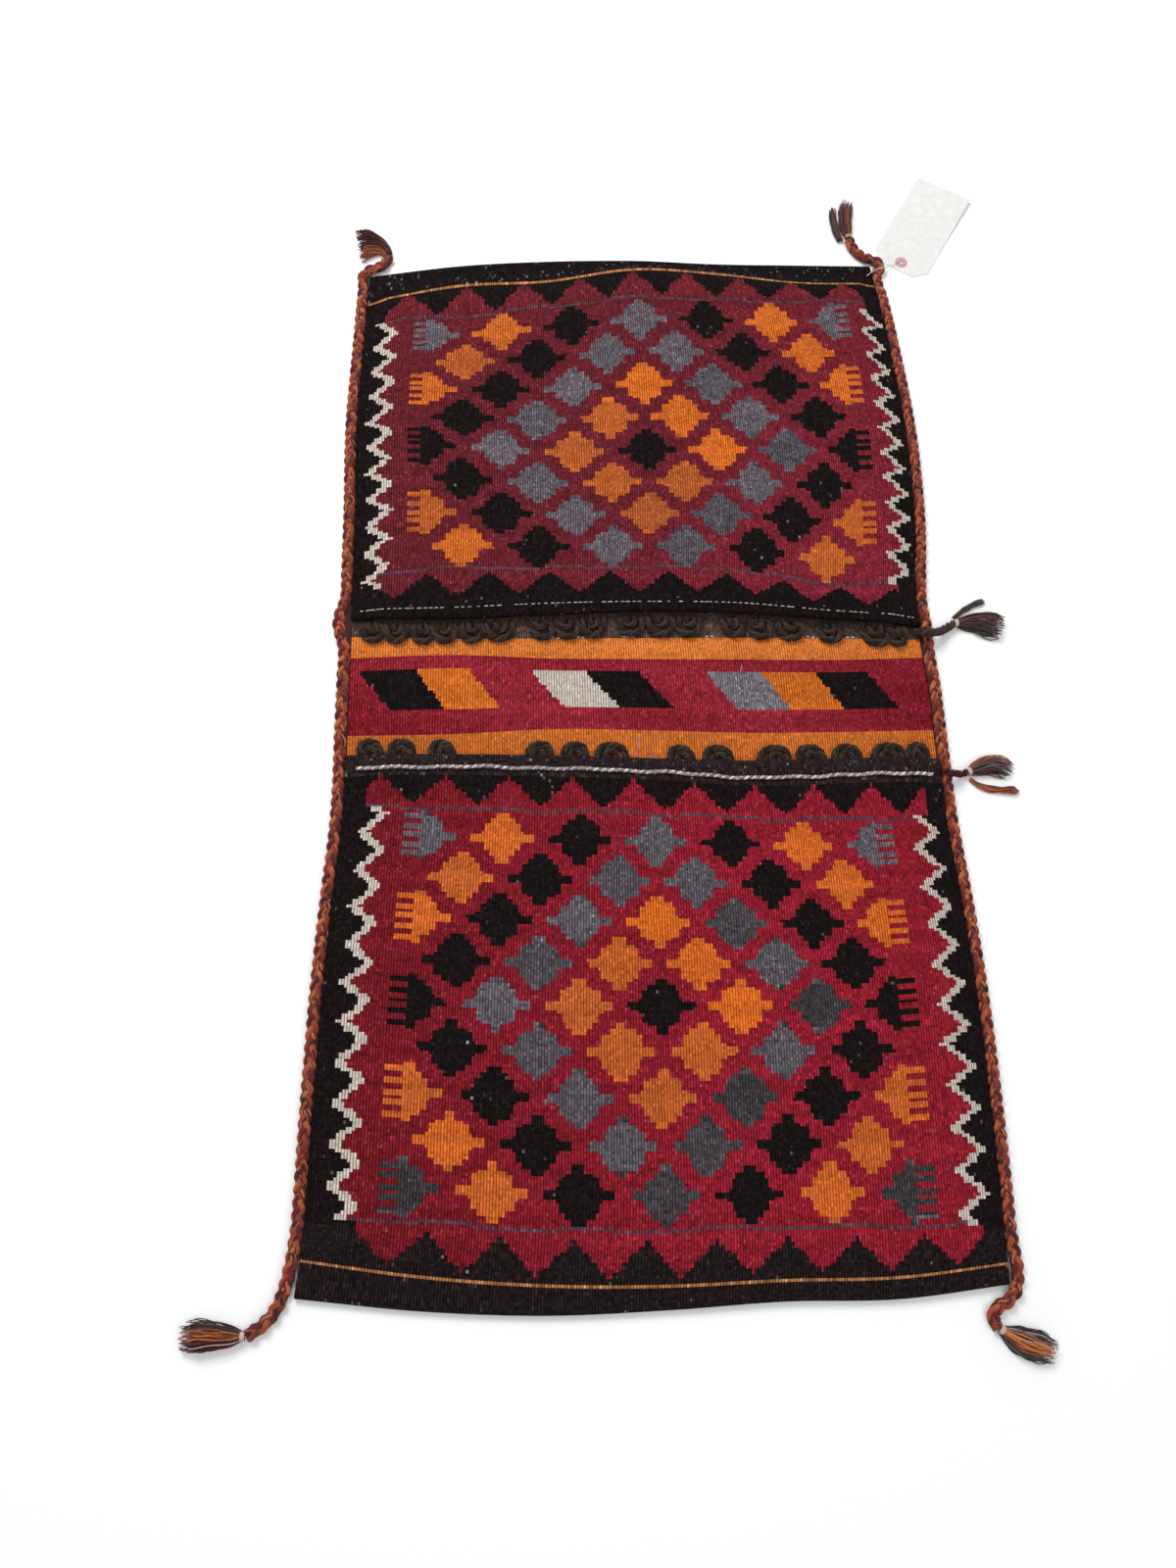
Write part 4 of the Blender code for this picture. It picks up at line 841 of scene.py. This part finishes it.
def cloth_piece(name, s_edges, colour_rule, material):
    """One length of the folded strip as a closed cloth: both faces and its four edges."""
    columns = int(round(2 * HALF_WIDTH / RIB))
    a_edges = np.linspace(-HALF_WIDTH, HALF_WIDTH, columns + 1)
    grid_a, grid_s = np.meshgrid(a_edges, s_edges)
    rows = len(s_edges) - 1
    outer = strip_points(grid_a, grid_s, CLOTH / 2)
    inner = strip_points(grid_a, grid_s, -CLOTH / 2)
    index = np.arange((rows + 1) * (columns + 1)).reshape(rows + 1, columns + 1)
    corners = [index[:-1, :-1], index[:-1, 1:], index[1:, 1:], index[1:, :-1]]
    quads = np.stack(corners, axis=-1).reshape(-1, 4)
    count = index.size
    p = outer.reshape(-1, 3)
    edge_one = p[quads[:, 1]] - p[quads[:, 0]]
    edge_two = p[quads[:, 3]] - p[quads[:, 0]]
    facing = np.einsum("ij,ij->i", np.cross(edge_one, edge_two),
                       (outer.reshape(-1, 3) - inner.reshape(-1, 3))[quads[:, 0]])
    flip = np.median(facing) < 0
    top = quads[:, ::-1] if flip else quads
    bottom = (quads if flip else quads[:, ::-1]) + count
    border = np.concatenate([index[0, :], index[1:, -1], index[-1, -2::-1], index[-2:0:-1, 0]])
    after = np.roll(border, -1)
    rim = np.stack([border, after, after + count, border + count], axis=-1)
    if not flip:
        rim = rim[:, ::-1]
    faces = np.concatenate([top, bottom, rim])
    verts = np.concatenate([outer.reshape(-1, 3), inner.reshape(-1, 3)])
    centre_a = (grid_a[:-1, :-1] + grid_a[1:, 1:]).ravel() / 2
    centre_s = (grid_s[:-1, :-1] + grid_s[1:, 1:]).ravel() / 2
    colours = colour_rule(centre_a, centre_s)
    face_colours = np.concatenate([colours, colours, np.tile(RIM_COLOUR, (len(rim), 1))])
    ribs = (grid_a.ravel() + HALF_WIDTH) / (2 * HALF_WIDTH) * columns
    uv_all = np.tile(np.stack([ribs, grid_s.ravel() / WEFT], axis=-1), (2, 1))
    corner_colours = np.repeat(face_colours, 4, axis=0)
    return mesh_object(name, verts, faces.tolist(), uv_all[faces.ravel()], corner_colours, material)


def evenly(low, high, step):
    count = max(int(round(abs(high - low) / step)), 1)
    return np.linspace(low, high, count + 1)


def joined(runs):
    """Edges of several runs in a row, each shared edge once."""
    return np.concatenate([runs[0]] + [run[1:] for run in runs[1:]])


def pouch_piece(name, side, material):
    """Pouch front with its fold and its turned-under hem."""
    back, fold, front, hem_fold, hem = run_lengths(side)
    part = "lower" if side < 0 else "upper"
    runs = (evenly(back, fold, FOLD_CELL), evenly(fold, front, WEFT), evenly(front, hem_fold, HEM_FOLD_CELL),
            evenly(hem_fold, hem, HEM_CELL))

    def rule(a, s):
        b = chart_heights(s)
        return yarn_colours(part, pouch_codes(part, a, b), a, b)

    return cloth_piece(name, side * joined(runs), rule, material)


def bridge_piece(name, material):
    """Underside and bridge: one length from fold to fold."""
    runs = (evenly(-FOLD_REACH, SEEN_BRIDGE[0], BACK_CELL), evenly(*SEEN_BRIDGE, WEFT),
            evenly(SEEN_BRIDGE[1], FOLD_REACH, BACK_CELL))

    def rule(a, s):
        b = chart_heights(s)
        return yarn_colours("bridge", bridge_codes(a, b), a, b)

    return cloth_piece(name, joined(runs), rule, material)


class Bundle:
    """Collects tubes of yarn that make one piece."""

    def __init__(self):
        self.verts, self.faces, self.uv, self.colours, self.count = [], [], [], [], 0

    def tube(self, path, radius, sides, colour, flat=1.0):
        path = np.asarray(path, float)
        n = len(path)
        radius = np.broadcast_to(np.asarray(radius, float), (n,))
        colour = np.broadcast_to(np.asarray(colour, float), (n, 3))
        tangent = unit(np.gradient(path, axis=0))
        up = np.tile(np.array([0.0, 0.0, 1.0]), (n, 1))
        steep = abs(tangent[:, 2]) > 0.93
        up[steep] = np.array([0.3, 1.0, 0.0])
        across = unit(np.cross(tangent, up))
        lift = np.cross(across, tangent)
        angles = 2 * np.pi * np.arange(sides) / sides
        ring = (across[:, None] * np.cos(angles)[None, :, None]
                + flat * lift[:, None] * np.sin(angles)[None, :, None]) * radius[:, None, None]
        points = (path[:, None] + ring).reshape(-1, 3)
        base = self.count
        self.verts.append(points)
        self.count += len(points)
        length = distance_along(path) / UV_LENGTH
        for i in range(n - 1):
            for j in range(sides):
                k = (j + 1) % sides
                self.faces.append((base + i * sides + j, base + i * sides + k,
                                   base + (i + 1) * sides + k, base + (i + 1) * sides + j))
                self.uv.extend(((length[i], j / sides), (length[i], (j + 1) / sides),
                                (length[i + 1], (j + 1) / sides), (length[i + 1], j / sides)))
                self.colours.extend((colour[i], colour[i], colour[i + 1], colour[i + 1]))
        for i, order in ((0, range(sides - 1, -1, -1)), (n - 1, range(sides))):
            self.faces.append(tuple(base + i * sides + j for j in order))
            self.uv.extend([(length[i], 0.5)] * sides)
            self.colours.extend([colour[i]] * sides)

    def make(self, name, material):
        return mesh_object(name, np.concatenate(self.verts), self.faces, np.array(self.uv),
                           np.array(self.colours), material)


def frames_along(path):
    tangent = unit(np.gradient(path, axis=0))
    across = unit(np.cross(tangent, np.array([0.0, 0.0, 1.0])))
    return tangent, across, np.cross(across, tangent)


def braid_route(side, head, tail, swing):
    start, end = head[-1][1] - BRAID_LOBE, tail[0][1] + BRAID_LOBE
    count = int((start - end) / (2 * BRAID_LOBE))
    along = []
    for k in range(count + 1):
        y = start + (end - start) * k / count
        out = BRAID_WIDTH / 2 + BRAID_GAP + swing * math.exp(-((y - SWING_HEIGHT) / BRAID_LOBE) ** 2)
        along.append((float(side_at(side, y)) + side * out, y))
    return list(head) + along + list(tail)


def braid(name, hand, route, swing, material):
    """Three strands of three yarns each, plaited flat over a dark core that paints the shade in their gaps,
    and the seam beside them.
    """
    centre = smooth_route(route, BRAID_SPACING)
    centre = np.column_stack([centre, np.full(len(centre), BRAID_CENTRE)])
    _, across, lift = frames_along(centre)
    along = distance_along(centre)
    phase = 2 * np.pi * along / (3 * PLAIT_LOBE)
    dark = HAIR["maroon"][1]
    bundle = Bundle()
    # Dark core under the strands, seen through their gaps as painted shade
    bundle.tube(centre - lift * BRAID_CORE_DROP, BRAID_CORE, 8, dark, flat=0.5)
    y = np.linspace(*SEAM_ENDS, 260)
    gap = BRAID_GAP + swing * np.exp(-((y - SWING_HEIGHT) / BRAID_LOBE) ** 2)
    seam = np.column_stack([side_at(hand, y) + hand * gap / 2, y, np.full(len(y), SEAM_HEIGHT)])
    bundle.tube(seam, SEAM_WIDTH + gap / 2, 8, dark, flat=0.4)
    for k, colour in enumerate(BRAID_COLOURS):
        turn = phase + 2 * np.pi * k / 3
        side = BRAID_SWAY * (np.sin(turn) - 0.12 * np.sin(3 * turn))
        rise = BRAID_RISE * np.sin(2 * turn)
        middle = centre + across * side[:, None] + lift * rise[:, None]
        for m in (-1, 0, 1):
            path = middle + across * (m * BRAID_YARN_GAP) + lift * (0.0004 * (1 - abs(m)))
            lot = 0.5 + 0.5 * scatter(np.floor(along / BRAID_LOT), k + 0 * along, m + 0 * along)
            shade = np.array(colour)[None] * (0.55 + 0.75 * lot)[:, None]
            shade[lot > 0.90] = BRAID_BRIGHT
            shade[lot < 0.16] = dark
            bundle.tube(path, BRAID_YARN, 6, shade, flat=1.1)
    return bundle.make(name, material)


def tassel_points(stations):
    points = np.array([(x, y) for x, y, _ in stations])
    ways = np.gradient(points, axis=0)
    ways /= np.linalg.norm(ways, axis=1, keepdims=True)
    return points, ways


def tassel(kind, tied, stations, material):
    """Hank of single yarns that spread from the neck and lie on each other."""
    streaks = STREAKS[kind]
    points, ways = tassel_points(stations)
    widths = np.array([w for _, _, w in stations])
    heights = widths * HANK_THICKNESS
    widths = widths * (1 + (FAN.get(kind, 1.0) - 1) * np.linspace(0, 1, len(widths)))
    lifts = np.zeros(len(widths))
    if tied:
        neck = TIE_RADIUS - TIE_WIRE - SEAT_GAP
        widths[0] = neck
        heights[0] = neck
        lifts[0] = TIE_RADIUS + TIE_WIRE - neck
    knots = np.linspace(0, 1, len(points))
    curves = (points[:, 0], points[:, 1], ways[:, 1], -ways[:, 0], widths, heights, lifts)
    bundle = Bundle()
    for k in range(int(HANK_YARNS + max(widths) * HANK_YARNS_PER_METRE)):
        p = RNG.uniform(-1, 1)
        q = RNG.random() * math.sqrt(max(1 - p * p, 0.05))
        reach = RNG.uniform(0.80, 1.0)
        wave, speed = RNG.uniform(0, 6.28), RNG.uniform(1.0, 2.6)
        radius = RNG.uniform(*HANK_YARN_RADII)
        t = np.linspace(0, reach, 15)
        x, y, ax, ay, w, h, base = (smooth_through(knots, values, t) for values in curves)
        drift = p * (w * HANK_FULLNESS) + HANK_SWAY * t * np.sin(speed * 6 * t + wave)
        piled = 2 * np.maximum(h - radius, 0) * q * (1 - 0.5 * t)
        z = base + radius + piled + HANK_LIFT * t * (1 + np.sin(9 * t + wave))
        streak = int(np.clip((p + 1) / 2 * len(streaks) + RNG.normal(0, 0.30), 0, len(streaks) - 1))
        shades = HAIR["ivory" if k < WHITE_YARNS.get(kind, 0) else streaks[streak]]
        shade = np.array(shades[RNG.integers(len(shades))]) * math.exp(RNG.normal(0, 0.18))
        path = np.column_stack([x + ax * drift, y + ay * drift, z])
        bundle.tube(path, radius * (1 - 0.4 * t**3), 5, shade)
    return bundle.make("hank_" + kind, material)


def tie(name, stations, colour, material):
    """Thread wound round a tassel's neck."""
    points, ways = tassel_points(stations)
    way = np.array([*ways[0], 0.0])
    middle = np.array([*points[0], TIE_RADIUS + TIE_WIRE]) + way * NECK_LENGTH / 2
    across = np.array([way[1], -way[0], 0.0])
    turns = np.linspace(0, TIE_TURNS * 2 * np.pi, 90)
    radius = TIE_RADIUS - TIE_BITE
    path = (middle + way * ((turns / turns[-1] - 0.5) * TIE_LENGTH)[:, None]
            + across * (radius * np.cos(turns))[:, None]
            + np.array([0, 0, 1.0]) * (radius * np.sin(turns))[:, None])
    bundle = Bundle()
    bundle.tube(path, TIE_THREAD, 6, HAIR[colour][0])
    return bundle.make(name, material)


def plied(bundle, path, diameter, plies, pitch, palette, sides=7, mottle=0.15):
    """Plied cord: yarns wound round each other along a path."""
    _, across, lift = frames_along(path)
    along = distance_along(path)
    start = RNG.uniform(0, 6.28)
    core = diameter * (0.25 if plies == 2 else 0.27)
    for k in range(plies):
        turn = 2 * np.pi * (along / pitch + k / plies) + start
        offset = across * (core * np.cos(turn))[:, None] + lift * (core * np.sin(turn))[:, None]
        spots = scatter(np.floor(along / 0.0023), k + 0 * along)
        shade = np.array(palette[k % len(palette)]) * np.exp(mottle * spots)[:, None]
        bundle.tube(path + offset, diameter * 0.27, sides, shade)


def loop_path(x, width, side, lip, reach, top, lean):
    half = width / 2 - LOOP_CORD / 2 - SEAT_GAP
    edge = min(side * float(line_height(side * lip, x + k * half)) for k in (-1, 0, 1))
    root = edge - LOOP_CORD / 2 - SEAT_GAP + (LOOP_TUCK if side < 0 else 0.0)
    reach = reach + (LOOP_TUCK if side < 0 else 0.0)
    points = [(x + u * half + lean * v * reach, side * (root - v * reach), top) for u, v in LOOP_OUTLINE]
    return smooth_route(points, CORD_SPACING)


def closure_loop(name, x, width, side, lip, reach, material):
    """Thick plied hair cord in two turns, one inside the other, a little askew."""
    top = CLOTH + SEAT_GAP + LOOP_CORD / 2
    lean = RNG.uniform(-LOOP_LEAN, LOOP_LEAN)
    bundle = Bundle()
    wider, longer = RNG.uniform(0.001, 0.003), RNG.uniform(0.0, 0.0015)
    outer = loop_path(x, width + wider, side, lip, reach + longer, top, lean)
    plied(bundle, outer, LOOP_CORD * 1.12, 3, 0.0190, HAIR["brown"][:3])
    aside = RNG.uniform(-0.0015, 0.0015)
    inner = loop_path(x + aside, width * 0.60, side, lip, reach * 0.50, top + 0.0009, lean)
    plied(bundle, inner, LOOP_CORD, 3, 0.0170, HAIR["brown"][:3])
    return bundle.make(name, material)


def raised_route(route, diameter):
    over = BRAID_HEIGHT + 2 * SEAT_GAP
    return smooth_route([(x, y, diameter / 2 + up * over) for x, y, up in route], CORD_SPACING)


def placed(item, *nodes, slot):
    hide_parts(*nodes)
    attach(item, "root")
    return item


def stitches(material):
    """White running stitch along the hem of the upper mouth, and mending threads on the bridge."""
    bundle = Bundle()
    a = -STITCH_REACH
    while a < STITCH_REACH:
        length = RNG.uniform(*STITCH_LENGTHS)
        if RNG.random() < STITCH_SHARE:
            t = np.linspace(0, 1, 5)
            points = strip_points(a + length * t, np.full(5, front_s(UPPER_LIP + STITCH_LINE)), CLOTH / 2)
            points[:, 2] += 0.0002 + 0.0005 * np.sin(np.pi * t)
            bundle.tube(points, STITCH_RADIUS, 6, np.array(STITCH_COLOUR) * RNG.uniform(0.6, 1.1))
        a += RNG.uniform(*STITCH_ADVANCE)
    for low, high in BAND_STITCHES:
        a = low
        while a < high:
            start = (a, BROWN_BOTTOM + RNG.uniform(-BAND_STITCH_WANDER, BAND_STITCH_WANDER))
            end = (a + RNG.uniform(*BAND_STITCH_LENGTHS), BROWN_BOTTOM)
            bundle.tube(bridge_line((start, end), 4), BAND_STITCH_RADIUS, 6, BAND_STITCH_COLOUR)
            a += RNG.uniform(*BAND_STITCH_ADVANCE)
    for ends in MENDS:
        bundle.tube(bridge_line(ends, 14), STITCH_RADIUS, 6, MEND_COLOUR)
    item = bundle.make("hem_stitches", material)
    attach(item, "root")
    return item


def bridge_line(ends, count):
    """Thread that lies on the bridge from one chart place to another, with its ends drawn in."""
    t = np.linspace(0, 1, count)
    a = ends[0][0] + (ends[1][0] - ends[0][0]) * t
    b = ends[0][1] + (ends[1][1] - ends[0][1]) * t
    x, y = on_bag(a, b)
    return np.stack([x, y, CLOTH - 0.0002 + 0.0006 * np.sin(np.pi * t)], axis=-1)


def laid_cord(material):
    """Whitish two-ply cord along the lower lip, a little wavy."""
    end = HALF_WIDTH - SIDE_SLOPE / 3
    a = np.linspace(-end, end, 420)
    path = strip_points(a, np.full(len(a), front_s(LAID_CORD_HEIGHT)), CLOTH / 2)
    path[:, 1] += 0.0005 * np.sin(a * 160) + 0.0004 * np.sin(a * 71)
    path[:, 2] += LAID_CORD * 0.42 + 0.0004 * np.sin(a * 118 + 1.0)
    bundle = Bundle()
    plied(bundle, path, LAID_CORD * 1.05, 2, 0.0066, LAID_CORD_COLOURS, 6, 0.55)
    return bundle.make("laid_cord_twisted", material)


def paper_material(name, colour):
    """Matt paper with faint mottling."""
    material, nodes, links, shader = node_tree(name)
    matt(shader, 0.75, 0.0)
    mottle = noise(nodes, links, 160.0, 6.0)
    ramp = nodes.new("ShaderNodeValToRGB")
    for element, place, brightness in zip(ramp.color_ramp.elements, (0.3, 0.7), (0.90, 1.0)):
        element.position = place
        element.color = (*(brightness * c for c in colour), 1)
    links.new(mottle, ramp.inputs[0])
    links.new(ramp.outputs[0], shader.inputs["Base Color"])
    relief(nodes, links, shader, mottle, 0.15, 0.0003)
    return material


def paper_tag():
    """Dress the blank tag's own sheet, and make its pink ring."""
    tag = bpy.data.objects["paper_tag"]
    for slot in tag.material_slots:
        slot.material = paper_material("tag_paper_white", (0.80, 0.79, 0.77))

    rings = 32
    verts, faces = [], []
    profile = ((EYELET_INNER, 0.0), (EYELET_INNER, 0.00035), (EYELET_INNER + 0.0005, 0.0005),
               (EYELET_OUTER - 0.0003, 0.0004), (EYELET_OUTER, 0.00015), (EYELET_OUTER, 0.0))
    for k in range(rings):
        angle = 2 * math.pi * k / rings
        for radius, z in profile:
            x, y = radius * math.cos(angle), radius * math.sin(angle)
            verts.append((EYELET_PLACE[0] + x, EYELET_PLACE[1] + y, TAG_THICKNESS + SEAT_GAP + z))
    n = len(profile)
    for k in range(rings):
        for j in range(n):
            m = (k + 1) % rings
            faces.append((k * n + j, m * n + j, m * n + (j + 1) % n, k * n + (j + 1) % n))
    mesh = bpy.data.meshes.new("tag_ring")
    mesh.from_pydata(verts, [], faces)
    mesh.shade_smooth()
    mesh.materials.append(paper_material("ring_pink", (0.58, 0.36, 0.37)))
    ring = linked("tag_ring", mesh)
    placed(ring, "tag_eyelet", slot="eyelet_ring")
    return tag, ring


def tag_string(material):
    path = raised_route(STRING_ROUTE, STRING_DIAMETER)
    bundle = Bundle()
    bundle.tube(path, STRING_DIAMETER / 2, 8, STRING_COLOUR)
    item = bundle.make("cotton_tag_string", material)
    placed(item, "tag_string", slot="cotton_yarn")


def floor():
    bpy.ops.mesh.primitive_plane_add(size=12, location=(0, 0, -0.0004))
    plane = bpy.context.object
    plane.name = "floor"
    material, _, _, shader = node_tree("pale_floor")
    shader.inputs["Base Color"].default_value = (0.96, 0.96, 0.96, 1)
    shader.inputs["Roughness"].default_value = 0.9
    shader.inputs["Specular IOR Level"].default_value = 0.05
    plane.data.materials.append(material)


def studio():
    """Soft light all round, with a plain white background in view and in mirrors."""
    world = bpy.data.worlds.new("studio")
    bpy.context.scene.world = world
    world.use_nodes = True
    nodes, links = world.node_tree.nodes, world.node_tree.links
    rays = nodes.new("ShaderNodeLightPath").outputs
    mirrored = math_node(nodes, links, "MAXIMUM", rays["Is Glossy Ray"], rays["Is Transmission Ray"])
    seen = math_node(nodes, links, "MAXIMUM", rays["Is Camera Ray"], mirrored)
    soft = nodes["Background"]
    white = nodes.new("ShaderNodeBackground")
    for node, colour, strength in ((soft, (0.98, 0.99, 1.0, 1), 0.55), (white, (1, 1, 1, 1), 1.0)):
        node.inputs["Color"].default_value = colour
        node.inputs["Strength"].default_value = strength
    mix = nodes.new("ShaderNodeMixShader")
    for k, output in enumerate((seen, soft.outputs[0], white.outputs[0])):
        links.new(output, mix.inputs[k])
    links.new(mix.outputs[0], nodes["World Output"].inputs["Surface"])


def lamps():
    for name, place, size, power in LAMPS:
        data = bpy.data.lights.new(name, "AREA")
        data.energy = power
        data.size = size
        light = linked(name, data)
        light.location = place
        light.rotation_mode = "QUATERNION"
        light.rotation_quaternion = (-Vector(place)).to_track_quat("-Z", "Y")


def camera():
    """Camera at the photograph's viewing angle, from points matched on the woven lattice."""
    turn = Matrix.Rotation(-CAMERA_HEADING, 3, "Z")
    right = turn @ Vector((1, 0, 0))
    up = turn @ Vector((0, math.sin(CAMERA_ELEVATION), math.cos(CAMERA_ELEVATION)))
    forward = turn @ Vector((0, math.cos(CAMERA_ELEVATION), -math.sin(CAMERA_ELEVATION)))
    x = math.cos(CAMERA_ROLL) * right - math.sin(CAMERA_ROLL) * up
    y = math.sin(CAMERA_ROLL) * right + math.cos(CAMERA_ROLL) * up
    data = bpy.data.cameras.new("camera")
    data.lens = CAMERA_LENS
    data.sensor_width = 36.0
    data.clip_start = 0.05
    item = linked("camera", data)
    item.matrix_world = Matrix.Translation(CAMERA_PLACE) @ Matrix((x, y, -forward)).transposed().to_4x4()
    bpy.context.scene.camera = item


def cloth():
    weave = weave_material()
    bridge = bridge_piece("kilim_bridge_and_back", weave)
    fronts = [pouch_piece("kilim_lower_pouch", -1, weave), pouch_piece("kilim_upper_pouch", 1, weave)]
    placed(bridge, "woven_strip", slot="wool_kilim")
    for piece, side in zip(fronts, (-1, 1)):
        placed(piece, "woven_strip", slot="wool_kilim")


def braids():
    material = yarn_material("braid_yarn", (16.0, 2.0), 0.85, 0.25, 0.0003)
    for name, hand, head, tail, swing in (("braid_left", -1, LEFT_HEAD, LEFT_TAIL, LEFT_SWING),
                                          ("braid_right", 1, RIGHT_HEAD, RIGHT_TAIL, RIGHT_SWING)):
        route = braid_route(hand, head, tail, swing)
        placed(braid(name + "_plaited", hand, route, swing, material), name, slot="wool_braid")


def tassels(cotton):
    material = yarn_material("tassel_yarn", (30.0, 2.0), 0.8, 0.3, 0.0001)
    for name, (tied, stations) in TASSELS.items():
        placed(tassel(name, tied, stations, material), "tassel_" + name, slot="wool_tassel")
        if tied:
            placed(tie("wound_tie_" + name, stations, tied, cotton), "tie_" + name, slot="cotton_yarn")


def closure_loops(material):
    for mouth, loops, side, lip, reach in (("upper", UPPER_LOOPS, 1, UPPER_LIP, UPPER_LOOP_DROP),
                                           ("lower", LOWER_LOOPS, -1, LOWER_LIP, LOWER_LOOP_RISE)):
        for number, (x, width) in enumerate(loops, start=1):
            node = f"closure_loop_{mouth}_{number:02d}"
            loop = closure_loop("plied_" + node, x, width, side, lip, reach, material)
            placed(loop, node, slot="goat_hair_cord")


def mouth_cords(material):
    for name, route, palette, slot in (("upper", UPPER_MOUTH_CORD, "brown", "goat_hair_cord"),
                                       ("lower", LOWER_MOUTH_CORD, "maroon", "wool_braid")):
        bundle = Bundle()
        thick = MOUTH_CORD * MOUTH_CORD_FULLNESS[name]
        plied(bundle, raised_route(route, thick), thick, 2, 0.011, HAIR[palette])
        placed(bundle.make("plied_mouth_cord_" + name, material), "mouth_cord_" + name, slot=slot)


def build():
    camera()
    floor()
    studio()
    lamps()
    hairy = yarn_material("goat_hair", (22.0, 3.0), 0.8, 0.05, 0.00035)
    cotton = yarn_material("cotton", (24.0, 2.0), 0.85, 0.1, 0.0001)
    cloth()
    braids()
    tassels(cotton)
    closure_loops(hairy)
    mouth_cords(hairy)
    placed(laid_cord(cotton), "laid_cord", slot="cotton_yarn")
    stitches(cotton)
    tag, ring = paper_tag()
    tag_string(cotton)


build()
bpy.context.scene.view_settings.view_transform = "Standard"
